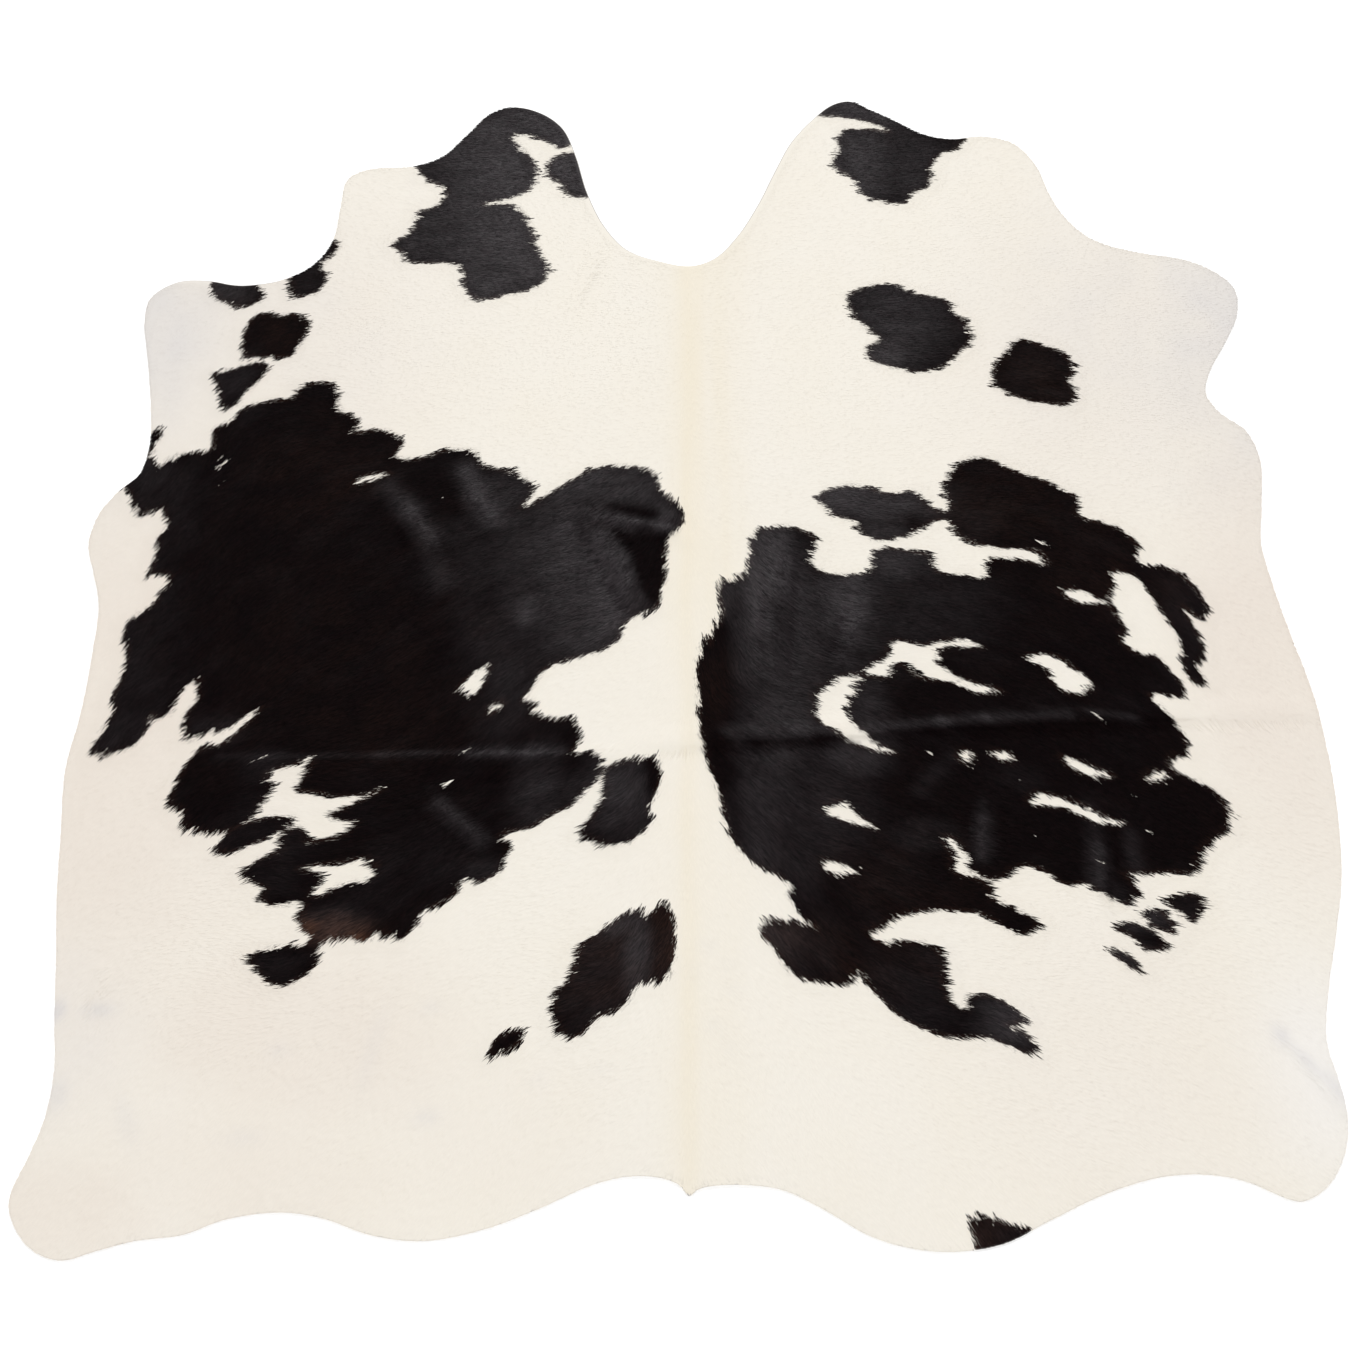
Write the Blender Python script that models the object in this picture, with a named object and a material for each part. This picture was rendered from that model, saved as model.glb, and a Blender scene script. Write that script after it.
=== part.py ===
"""Cowhide rug: one whole tanned hide, hair side up, lying flat on a floor.

The hide is a thin closed sheet. Its rim is a smooth curve through points given in
centimetres, across from the spine and along from the rump's lowest point, and its
folding creases and soft waves are low ridges that lift the sheet a few millimetres off
the floor. Between them its underside lies flat. The neck points to +Y, the spine runs
along Y, and the origin is under the middle of the hide's own box.
"""

import math
from collections import namedtuple

import bpy
import bmesh
from mathutils import Vector
from mathutils.geometry import delaunay_2d_cdt

CM = 0.01
MM = 0.001

# Driving dimensions, in metres.
EDGE_THICKNESS = 2.2 * MM        # bare leather and clipped hair at the cut rim
FLANK_THICKNESS = 3.4 * MM       # leather and flat-lying hair over the flanks
SPINE_THICKNESS = 4.6 * MM       # thicker leather and denser hair over the spine
SPINE_HALF_WIDTH = 30 * CM       # how far from the spine the thicker leather reaches
UNEVENNESS = 0.25 * MM           # slow rise and fall of the hair's surface
RIM_BEVEL = 6 * MM               # how far in from the rim the hair reaches its full depth
RIM_STEP = 1.9 * CM              # longest straight piece of the rim
FIELD_STEP = 4.6 * CM            # spacing of the surface's points away from the folds
FOLD_STEP = 2.4 * CM             # spacing of the points along a fold
RIM_CLEARANCE = 1.6 * CM         # surface points keep this far from the rim
FOLD_CLEARANCE = 0.75 * CM       # two points of the folds are never closer than this
FIELD_CLEARANCE = 2.4 * CM       # a point of the field keeps this far from all others

RimPoint = namedtuple("RimPoint", "across along")
Fold = namedtuple("Fold", "name left_side_cm right_side_cm crest")
Crest = namedtuple("Crest", "across along rise_mm")

# The rim, clockwise from above: centimetres right of the spine, and from the rump's
# lowest point towards the neck.
RIM_SECTIONS = {
    "neck_notch": ((-10, 176.0), (-4.5, 173.5), (0.5, 172.5), (4.5, 174.1)),
    "right_neck_flap": (
        (8.3, 178.8), (12, 186), (15.2, 194), (18, 200.4), (22, 206), (25.5, 209.4),
        (28.5, 210.2), (31.5, 208.4), (36, 205.6), (40.5, 202.5), (45.5, 201.3),
        (51.5, 201.9), (56.5, 200.1), (60, 195), (61.8, 188.5), (64, 183.4), (68, 178.6)),
    "right_foreleg": (
        (75, 175.7), (83, 174), (88, 171.3), (91, 167.7), (91, 162.5), (88.5, 156.5),
        (85.2, 150.2), (84, 145.4), (86, 141.4), (89.4, 138.3), (91.2, 132.5)),
    "right_flank": (
        (90.4, 123), (89.5, 116), (90.4, 108), (92, 99), (94, 89), (95, 78), (95.1, 68),
        (94.3, 57.5), (92.4, 48.5), (90.2, 39.8), (88.8, 31.5)),
    "right_hind_leg": (
        (89.7, 25.5), (90.2, 20), (89, 14.5), (86, 9.9), (82.3, 8), (79, 9.2), (75, 11),
        (69.5, 11.9), (63.5, 11.4), (56, 9)),
    "rump": (
        (48, 5.1), (42, 2.1), (35.5, 1), (29.5, 1.5), (24, 3.3), (18, 7), (12.5, 9.7),
        (7, 10.4), (3, 10.2), (1.2, 9.7), (0, 8.8), (-1.1, 10.2), (-3.5, 11.3),
        (-8, 11.6), (-13, 10.4), (-20, 7.1), (-27.5, 4.1), (-35.5, 2.5), (-42.5, 3.3),
        (-49, 5.6), (-55, 6.5), (-62.5, 5.4), (-67.5, 3.4), (-74, 2.5)),
    "left_hind_leg": (
        (-79, 1.1), (-83.5, -0.2), (-87.5, 1.2), (-90.5, 4.8), (-91.5, 8.3),
        (-90.2, 12.7), (-88.4, 18.7), (-87.7, 26.5), (-88.7, 35)),
    "left_flank": (
        (-89.6, 44), (-90.7, 53.5), (-91.4, 64), (-92.1, 75), (-91, 85), (-90.5, 95.5),
        (-90.6, 104.5), (-92.3, 111), (-93.5, 115.7), (-92.6, 121.3), (-90, 126),
        (-87, 129.4), (-86, 135)),
    "left_foreleg": (
        (-86.6, 142.5), (-88, 151.5), (-89.6, 161), (-89, 165.8), (-85, 169),
        (-80, 169.3), (-74.5, 168.3), (-67, 169.7), (-62.5, 172.8), (-59.7, 178)),
    "left_neck_flap": (
        (-58.9, 185.5), (-58, 192), (-54, 194.3), (-47, 194.9), (-42.3, 196.9),
        (-38, 202.2), (-34, 207.3), (-30, 208.8), (-25.3, 207.3), (-21.6, 203.8),
        (-19.2, 197.5), (-17, 188.8), (-14, 181.3)),
}

# The folds. A crest runs from point to point with its own rise at each, and the sheet
# falls to the floor over the given width on the left and the right of that way.
FOLDS = (
    Fold("middle_fold", 4.6, 1.7, (
        (-62, 77.2, 0), (-50, 77.3, 2.5), (-38, 78, 4), (-25, 78.6, 5), (-14, 78.3, 4),
        (-3, 79.3, 2.5), (5, 80.4, 4.5), (20, 81.2, 6), (40, 83, 6.5), (60, 83.9, 5),
        (75, 84.4, 2.8), (94.8, 84.6, 1.4))),
    Fold("pucker_top", 2.6, 2.0, (
        (-18, 121.4, 0), (-12, 120.4, 4), (-6, 119.2, 5.5), (-2, 117.3, 2.5),
        (1, 114.5, 0))),
    Fold("pucker_side", 3.0, 4.6, (
        (-4, 101, 0), (-8.5, 107, 3.5), (-11.5, 112.5, 5), (-13.5, 118, 3),
        (-15, 122, 0))),
    Fold("left_shoulder_wave", 3.0, 3.0, (
        (-47.5, 126, 0), (-43.5, 120.5, 3), (-39.5, 113.5, 3), (-37, 106, 0))),
    Fold("left_withers_wave", 3.0, 3.0, (
        (-36.5, 130, 0), (-33, 124, 2.6), (-29.5, 116, 0))),
    Fold("left_loin_wave", 2.6, 2.6, (
        (-41, 72.5, 0), (-36, 68.5, 3.4), (-31, 64, 3.8), (-26.5, 60.3, 0))),
    Fold("right_withers_wave", 3.2, 2.2, (
        (13, 86, 0), (13.6, 98, 2.8), (14.6, 110, 3), (15, 119, 0))),
    Fold("right_ribs_wave", 2.6, 2.6, (
        (22, 90, 0), (23.6, 95, 2.2), (25.6, 101, 2.6), (27, 107, 0))),
    Fold("right_loin_wave", 2.6, 2.6, (
        (41, 56, 0), (41.8, 62, 2.4), (43, 67, 2.6), (44.5, 72, 0))),
    Fold("right_haunch_wave", 2.6, 1.8, (
        (61, 49.5, 0), (60.4, 55, 3), (60.3, 60.5, 3.2), (60.6, 67, 0))),
    Fold("neck_wrinkle", 1.8, 1.8, (
        (-14.8, 179.5, 0), (-15.3, 173, 2), (-17.3, 167, 1.6), (-19.5, 161.5, 0))),
    Fold("left_shank_wrinkle", 1.8, 1.8, (
        (-84.2, 44, 0), (-83.2, 38, 2.4), (-82, 33.5, 0))),
    Fold("right_shank_wrinkle", 2.2, 2.2, (
        (82.5, 33, 0), (85.6, 28.5, 2.2), (88, 24.5, 2.6), (89.9, 20.8, 1.2))),
)


def fresh_scene():
    """Remove every object that the scene starts with."""
    for obj in list(bpy.data.objects):
        bpy.data.objects.remove(obj, do_unlink=True)


def spline_point(p0, p1, p2, p3, share):
    """Return the point a share of the way from p1 to p2 on a centripetal spline."""
    knots = [0.0]
    for start, end in ((p0, p1), (p1, p2), (p2, p3)):
        knots.append(knots[-1] + math.sqrt((end - start).length))
    at = knots[1] + share * (knots[2] - knots[1])

    def between(a, b, first, last):
        return a.lerp(b, (at - knots[first]) / (knots[last] - knots[first]))

    a1, a2, a3 = between(p0, p1, 0, 1), between(p1, p2, 1, 2), between(p2, p3, 2, 3)
    b1, b2 = between(a1, a2, 0, 2), between(a2, a3, 1, 3)
    return between(b1, b2, 1, 2)


def hide_rim():
    """Return the rim as a closed list of 2D points in metres, before centring."""
    marks = [RimPoint(*row) for rows in RIM_SECTIONS.values() for row in rows]
    marks = [Vector((mark.across * CM, mark.along * CM)) for mark in marks]
    rim = []
    for i, start in enumerate(marks):
        end = marks[(i + 1) % len(marks)]
        pieces = max(2, math.ceil((end - start).length / RIM_STEP))
        for piece in range(pieces):
            rim.append(spline_point(marks[i - 1], start, end, marks[(i + 2) % len(marks)],
                                    piece / pieces))
    return rim


def box_middle(points):
    """Return the middle of the points' own box."""
    xs, ys = [p.x for p in points], [p.y for p in points]
    return Vector(((min(xs) + max(xs)) / 2, (min(ys) + max(ys)) / 2))


def fold_crests(middle):
    """Return each fold with its crest as (place, rise) pairs in metres, centred."""
    placed = []
    for fold in FOLDS:
        rows = [Crest(*row) for row in fold.crest]
        crest = [(Vector((row.across * CM, row.along * CM)) - middle, row.rise_mm * MM)
                 for row in rows]
        placed.append((fold, crest))
    return placed


def lift_at(place, folds):
    """Return how high the folds hold the sheet's underside off the floor at a place."""
    total = 0.0
    for fold, crest in folds:
        best = 0.0
        for (start, low), (end, high) in zip(crest, crest[1:]):
            way = end - start
            share = min(1.0, max(0.0, (place - start).dot(way) / way.length_squared))
            offset = place - (start + way * share)
            on_left = way.x * offset.y - way.y * offset.x > 0
            width = (fold.left_side_cm if on_left else fold.right_side_cm) * CM
            fall = min(1.0, offset.length / width)
            rise = low + (high - low) * share
            best = max(best, rise * (0.5 + 0.5 * math.cos(math.pi * fall)))
        total = max(total, best)
    return total


def thickness_at(place, spine_x):
    """Return the sheet's thickness: most over the spine, slowly uneven elsewhere."""
    from_spine = min(1.0, abs(place.x - spine_x) / SPINE_HALF_WIDTH)
    bulk = FLANK_THICKNESS + (SPINE_THICKNESS - FLANK_THICKNESS) * (1 - from_spine) ** 2
    slow = math.sin(place.x * 23 + 2 * math.sin(place.y * 9)) * math.sin(place.y * 17 + 1)
    return bulk + UNEVENNESS * slow


def inward_normals(rim):
    """Return the unit normal that points into the hide at each rim point."""
    normals = []
    for i in range(len(rim)):
        way = rim[(i + 1) % len(rim)] - rim[i - 1]
        normals.append(Vector((way.y, -way.x)).normalized())
    return normals


def is_inside(place, rim):
    """Return whether a place lies inside the rim, by counting crossings."""
    inside = False
    for a, b in zip(rim, rim[1:] + rim[:1]):
        if (a.y > place.y) != (b.y > place.y):
            if place.x < a.x + (place.y - a.y) * (b.x - a.x) / (b.y - a.y):
                inside = not inside
    return inside


def fold_points(folds):
    """Return points on each crest and half way down and at the foot of both sides."""
    points = []
    for fold, crest in folds:
        for (start, _), (end, _) in zip(crest, crest[1:]):
            way = end - start
            left = Vector((-way.y, way.x)).normalized()
            pieces = max(1, round(way.length / FOLD_STEP))
            for piece in range(pieces):
                on_crest = start + way * (piece / pieces)
                points.append(on_crest)
                for share in (0.5, 1.0):
                    points.append(on_crest + left * fold.left_side_cm * CM * share)
                    points.append(on_crest - left * fold.right_side_cm * CM * share)
    return points


def field_points(rim):
    """Return a triangular net of points over the rim's box, row by row."""
    low_x, high_x = min(p.x for p in rim), max(p.x for p in rim)
    low_y, high_y = min(p.y for p in rim), max(p.y for p in rim)
    row_step = FIELD_STEP * math.sqrt(3) / 2
    points = []
    for row in range(int((high_y - low_y) / row_step) + 1):
        shift = FIELD_STEP / 2 if row % 2 else 0.0
        for column in range(int((high_x - low_x) / FIELD_STEP) + 1):
            points.append(Vector((low_x + shift + column * FIELD_STEP,
                                  low_y + row * row_step)))
    return points


def surface_points(rim, folds):
    """Return the inner points of the sheet: close along the folds, wider elsewhere."""
    kept = []
    for candidates, clearance in ((fold_points(folds), FOLD_CLEARANCE),
                                  (field_points(rim), FIELD_CLEARANCE)):
        for place in candidates:
            if not is_inside(place, rim):
                continue
            if min((place - p).length for p in rim) < RIM_CLEARANCE:
                continue
            if all((place - p).length > clearance for p in kept):
                kept.append(place)
    return kept


def add_skin(mesh, loop, inner, height, faces_up):
    """Triangulate a closed loop and its inner points, and add them at their heights.

    Returns the loop's vertices in order, so that the wall can join them.
    """
    places = loop + inner
    outline = [(i, (i + 1) % len(loop)) for i in range(len(loop))]
    flat, _, triangles, origins, _, _ = delaunay_2d_cdt(
        places, outline, [list(range(len(loop)))], 1, 1e-6)
    verts = [mesh.verts.new((p.x, p.y, height(p))) for p in flat]
    for triangle in triangles:
        a, b, c = (flat[i] for i in triangle)
        counter_clockwise = (b - a).cross(c - a) > 0
        order = triangle if counter_clockwise == faces_up else tuple(reversed(triangle))
        mesh.faces.new([verts[i] for i in order])
    new_index = {old: new for new, olds in enumerate(origins) for old in olds}
    return [verts[new_index[i]] for i in range(len(loop))]


def add_wall(mesh, lower, upper):
    """Join two loops that run clockwise with a strip of faces that point outwards."""
    for i in range(len(lower)):
        j = (i + 1) % len(lower)
        mesh.faces.new((lower[j], lower[i], upper[i], upper[j]))


def hide_material():
    """Return the cream hair's material."""
    material = bpy.data.materials.new("cream_hair")
    material.use_nodes = True
    shader = material.node_tree.nodes["Principled BSDF"]
    shader.inputs["Base Color"].default_value = (0.86, 0.82, 0.75, 1.0)
    shader.inputs["Roughness"].default_value = 0.62
    shader.inputs["Metallic"].default_value = 0.0
    return material


def build_hide():
    """Build the hide: its flat underside, cut edge, bevelled rim and hair surface."""
    rim = hide_rim()
    middle = box_middle(rim)
    spine_x = -middle.x
    rim = [p - middle for p in rim]
    folds = fold_crests(middle)
    inner = surface_points(rim, folds)
    hair_rim = [p + n * RIM_BEVEL for p, n in zip(rim, inward_normals(rim))]

    def underside(place):
        return lift_at(place, folds)

    def hair_surface(place):
        return lift_at(place, folds) + thickness_at(place, spine_x)

    mesh = bmesh.new()
    lower = add_skin(mesh, rim, inner, underside, faces_up=False)
    upper = add_skin(mesh, hair_rim, inner, hair_surface, faces_up=True)
    edge = [mesh.verts.new(v.co + Vector((0, 0, EDGE_THICKNESS))) for v in lower]
    add_wall(mesh, lower, edge)
    add_wall(mesh, edge, upper)

    data = bpy.data.meshes.new("hide")
    mesh.to_mesh(data)
    mesh.free()
    data.shade_smooth()
    data.set_sharp_from_angle(angle=math.radians(40))
    data.materials.append(hide_material())
    hide = bpy.data.objects.new("hide", data)
    bpy.context.scene.collection.objects.link(hide)
    return hide


def main():
    """Build the rug."""
    fresh_scene()
    build_hide()


main()
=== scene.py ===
"""Looks of the cowhide rug: its lying hair and black patches, the cut edge and the suede.

Everything is in metres in the row frame. The listed tables give places on the hide
in centimetres, across from the spine (right is positive) and along from the rump's
lowest point towards the neck, as the hide's own rim is measured.
"""

import logging
import math
from dataclasses import dataclass
from enum import Enum
from typing import Callable, NamedTuple

import bmesh
import bpy
import numpy as np
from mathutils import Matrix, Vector
from mathutils.geometry import delaunay_2d_cdt


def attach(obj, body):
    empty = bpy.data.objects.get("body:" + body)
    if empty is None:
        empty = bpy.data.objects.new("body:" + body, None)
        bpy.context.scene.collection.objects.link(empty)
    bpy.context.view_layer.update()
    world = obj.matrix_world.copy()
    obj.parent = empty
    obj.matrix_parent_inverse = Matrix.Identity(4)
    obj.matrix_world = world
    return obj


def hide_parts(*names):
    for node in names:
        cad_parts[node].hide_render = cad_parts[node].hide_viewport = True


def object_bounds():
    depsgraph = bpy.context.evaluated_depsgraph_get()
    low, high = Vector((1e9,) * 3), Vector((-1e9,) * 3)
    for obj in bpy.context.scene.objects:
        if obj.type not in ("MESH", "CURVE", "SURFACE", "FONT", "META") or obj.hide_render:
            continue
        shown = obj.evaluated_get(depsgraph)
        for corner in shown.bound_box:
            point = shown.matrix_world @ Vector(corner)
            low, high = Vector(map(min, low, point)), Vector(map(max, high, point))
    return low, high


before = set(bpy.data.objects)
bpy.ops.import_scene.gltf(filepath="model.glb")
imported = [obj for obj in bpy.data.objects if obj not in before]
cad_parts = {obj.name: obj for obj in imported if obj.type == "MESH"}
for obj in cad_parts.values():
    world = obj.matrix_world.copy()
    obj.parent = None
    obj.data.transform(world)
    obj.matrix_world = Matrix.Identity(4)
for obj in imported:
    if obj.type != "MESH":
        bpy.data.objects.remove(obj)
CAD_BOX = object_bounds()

LOG = logging.getLogger("cowhide_rug")

CM = 0.01
MM = 0.001
SPINE_CM = 0.83                  # the row frame's x = 0 is this far right of the spine
MIDDLE_CM = 105.0                # the row frame's y = 0 is this far up from the rump
SPINE_X = -SPINE_CM * CM
COLOUR_NAME = "coat_colour"      # attribute: black share, painted-sheen share, brown share
CAST_NAME = "coat_cast"          # attribute: yellow share, tan share, soil share
STRAND_NAME = "strand"           # map on each lock: across it and from root to tip
TONE_NAME = "lock_tone"          # attribute: each lock's own lightness, 0 to 1
HOME_NAME = "lock_home"          # attribute: where the lock is rooted
BLACK_NAME = "black"             # attribute of a root: whether its lock is black
ROOT_VECTORS = ("turn", "size")  # attributes of a root: its lock's turn and its size
BAKE_MAP = "OFBake"
LATTICE_PRIMES = (374761393, 668265263, 362437)      # across, along and for the seed
LATTICE_MIXER = 1274126177
LATTICE_BITS = 0xFFFFFFFF
LAST_CELL = 1.001                # keeps a reading inside the last cell of a chart
MIX_COLOURS = (6, 7)             # the inputs for two colours of a mix node
MIX_RESULT = 2                   # and its output


class Comb(NamedTuple):
    """How the hair leans at a place: degrees tailwards of straight out from the spine."""

    across: float
    along: float
    lean_deg: float


class Fold(NamedTuple):
    """A soft ridge in the hide, with the width that it falls over on either side."""

    left_side_cm: float
    right_side_cm: float
    crest: tuple[tuple[float, float, float], ...]


class Streak(NamedTuple):
    """A thin run of white hairs between two places, with its half width."""

    from_across: float
    from_along: float
    to_across: float
    to_along: float
    half_width_mm: float


class Band(NamedTuple):
    """A soft band between two places, with its half width and its strength."""

    from_across: float
    from_along: float
    to_across: float
    to_along: float
    half_width_cm: float
    strength: float


class Zone(NamedTuple):
    """A soft oval in which the coat takes on a cast, with its strength from 0 to 1."""

    across: float
    along: float
    half_across: float
    half_along: float
    strength: float
    turn_deg: float = 0.0


# The folds: how far each falls off to the left and right of its crest, looking along it,
# and the crest's (across, along, rise in mm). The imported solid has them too, at most a
# centimetre away.
FOLDS = {
    "middle_fold_left": Fold(1.7, 4.2, (
        (-72, 76.4, 0), (-62, 76.4, 1.6), (-50, 76.6, 2.5), (-38, 77.2, 3.2),
        (-29, 77.2, 4), (-20, 77.3, 4), (-12, 77.6, 3), (-3, 78.6, 0))),
    "middle_fold_right": Fold(4.6, 1.7, (
        (-14, 78.4, 0), (-3, 79.1, 2.5), (5, 79.8, 4.5), (20, 80.5, 6), (40, 82.2, 6.5),
        (60, 83.2, 5), (75, 84.1, 2.8), (94.8, 84.5, 1.4))),
    "pucker_top": Fold(2.6, 2.0, (
        (-18, 121.4, 0), (-12, 120.4, 4), (-6, 119.2, 5.5), (-2, 117.3, 2.5),
        (1, 114.5, 0))),
    "pucker_side": Fold(3.0, 4.6, (
        (-4, 101, 0), (-8.5, 107, 3.5), (-11.5, 112.5, 5), (-13.5, 118, 3),
        (-15, 122, 0))),
    "left_shoulder_wave": Fold(3.0, 3.0, (
        (-47.5, 126, 0), (-43.5, 120.5, 2.2), (-39.5, 113.5, 2.2), (-37, 106, 0))),
    "left_withers_wave": Fold(3.0, 3.0, (
        (-36.5, 130, 0), (-33.5, 124, 1.8), (-30, 116, 0))),
    "left_loin_wave": Fold(2.6, 2.6, (
        (-41, 72.5, 0), (-36, 68.5, 3.4), (-31, 64, 3.8), (-26.5, 60.3, 0))),
    "right_withers_wave": Fold(3.2, 2.2, (
        (13, 86, 0), (13.6, 98, 2.8), (14.6, 110, 3), (15, 119, 0))),
    "right_ribs_wave": Fold(2.6, 2.6, (
        (22, 90, 0), (23.6, 95, 2.2), (25.6, 101, 2.6), (27, 107, 0))),
    "right_loin_wave": Fold(2.6, 2.6, (
        (41, 56, 0), (41.8, 62, 2.4), (43, 67, 2.6), (44.5, 72, 0))),
    "right_haunch_wave": Fold(2.6, 1.8, (
        (61, 49.5, 0), (60.4, 55, 3), (60.3, 60.5, 3.2), (60.6, 67, 0))),
    "neck_wrinkle": Fold(1.8, 1.8, (
        (-14.8, 179.5, 0), (-15.3, 173, 2), (-17.3, 167, 1.6), (-19.5, 161.5, 0))),
    "left_shank_wrinkle": Fold(1.8, 1.8, (
        (-84.2, 44, 0), (-83.2, 38, 2.4), (-82, 33.5, 0))),
    "right_shank_wrinkle": Fold(2.2, 2.2, (
        (82.5, 33, 0), (85.6, 28.5, 2.2), (88, 24.5, 2.6), (89.9, 20.8, 1.2))),
}

# How the hair is combed: (across, along, lean) read here and there over the hide. The
# columns are those of Comb.
COMBING = (
    # neck and shoulders, left
    (-25, 176, 0), (-45, 185, 0), (-57, 183, 7), (-14, 165, 10), (-64, 165, 13),
    (-83, 157, 53), (-74, 159, 47), (-58, 144, 6), (-14, 140, 22), (-11, 155, 18),
    (-46, 138, 25), (-30, 134, 25), (-75, 133, 60), (-85, 135, 60), (-73, 128, 40),
    # the pucker and the left ribs
    (-8, 126, 44), (-3, 123, 58), (-20, 113, 22), (-5, 106, 52), (-13, 103, 24),
    (-10, 100, 37), (-76, 113, 58), (-89, 102, 60), (-71, 98, 55), (-59, 113, 42),
    (-47, 102, 33), (-84, 84, 57), (-22, 86, 43), (-14, 84, 40),
    # the left belly's whorl
    (-75, 80, 50), (-65, 77, 33), (-61, 73, 14), (-57, 70, 6), (-57, 66, -11),
    (-58, 56, -9), (-56, 54, 0), (-60, 63, 14), (-64, 58, 25), (-70, 64, 52),
    (-51, 53, 25), (-54, 49, 38), (-49, 46, 47), (-61, 42, 0), (-53, 46, 27),
    (-39, 51, 44), (-35, 44, 42), (-81, 62, 57),
    # the left loin and rump
    (-26, 62, 27), (-5, 73, 66), (-13, 71, 23), (-14, 64, 34), (-5, 51, 60),
    (-16, 43, 13), (-5, 40, 63), (-19, 38, 20), (-14, 35, 40), (-26, 31, 54),
    (-37, 26, 49), (-56, 26, 53), (-79, 30, 62), (-86, 15, 59), (-66, 11, 60),
    (-28, 15, 65),
    # neck and shoulders, right
    (35, 194, 0), (37, 161, 3), (57, 149, 6), (61, 146, 20), (53, 176, 3),
    (82, 165, 16), (19, 165, 10), (13, 144, 25), (42, 140, 6), (66, 134, 18),
    (82, 134, 38), (94, 113, 58),
    # the right withers and ribs
    (22, 123, 4), (26, 120, 18), (9, 117, 43), (20, 116, 15), (8, 112, 48),
    (5, 106, 62), (3, 98, 77), (40, 126, 2), (46, 124, 7), (55, 123, 15),
    (55, 115, 32), (62, 105, 33), (70, 110, 42), (74, 105, 49), (77, 112, 50),
    (73, 96, 50), (79, 94, 52), (76, 89, 45), (66, 97, 38), (19, 89, 18),
    (25, 91, 12), (26, 81, 38), (32, 96, 14), (43, 89, 31), (42, 102, 22),
    (52, 96, 26), (60, 88, 42), (14, 102, 35), (14, 79, 36), (91, 87, 56),
    # the right loin, haunch and rump
    (72, 76, 46), (78, 62, 44), (69, 73, 31), (53, 65, 30), (61, 63, 39),
    (38, 60, 22), (21, 68, 23), (27, 67, 32), (31, 63, 23), (11, 67, 49),
    (8, 60, 56), (14, 52, 49), (12, 46, 46), (26, 44, 30), (25, 38, 38),
    (36, 41, 9), (36, 36, 12), (46, 35, 30), (40, 30, 34), (48, 30, 40),
    (45, 56, 12), (50, 50, 22),
    (52, 57, 15), (53, 45, 10), (62, 44, 38), (65, 49, 25), (69, 55, 18), (73, 53, 16),
    (84, 46, 46), (15, 23, 65), (29, 20, 50), (57, 23, 42), (78, 26, 52),
    (38, 5, 61), (43, 6, 52),
)

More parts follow.
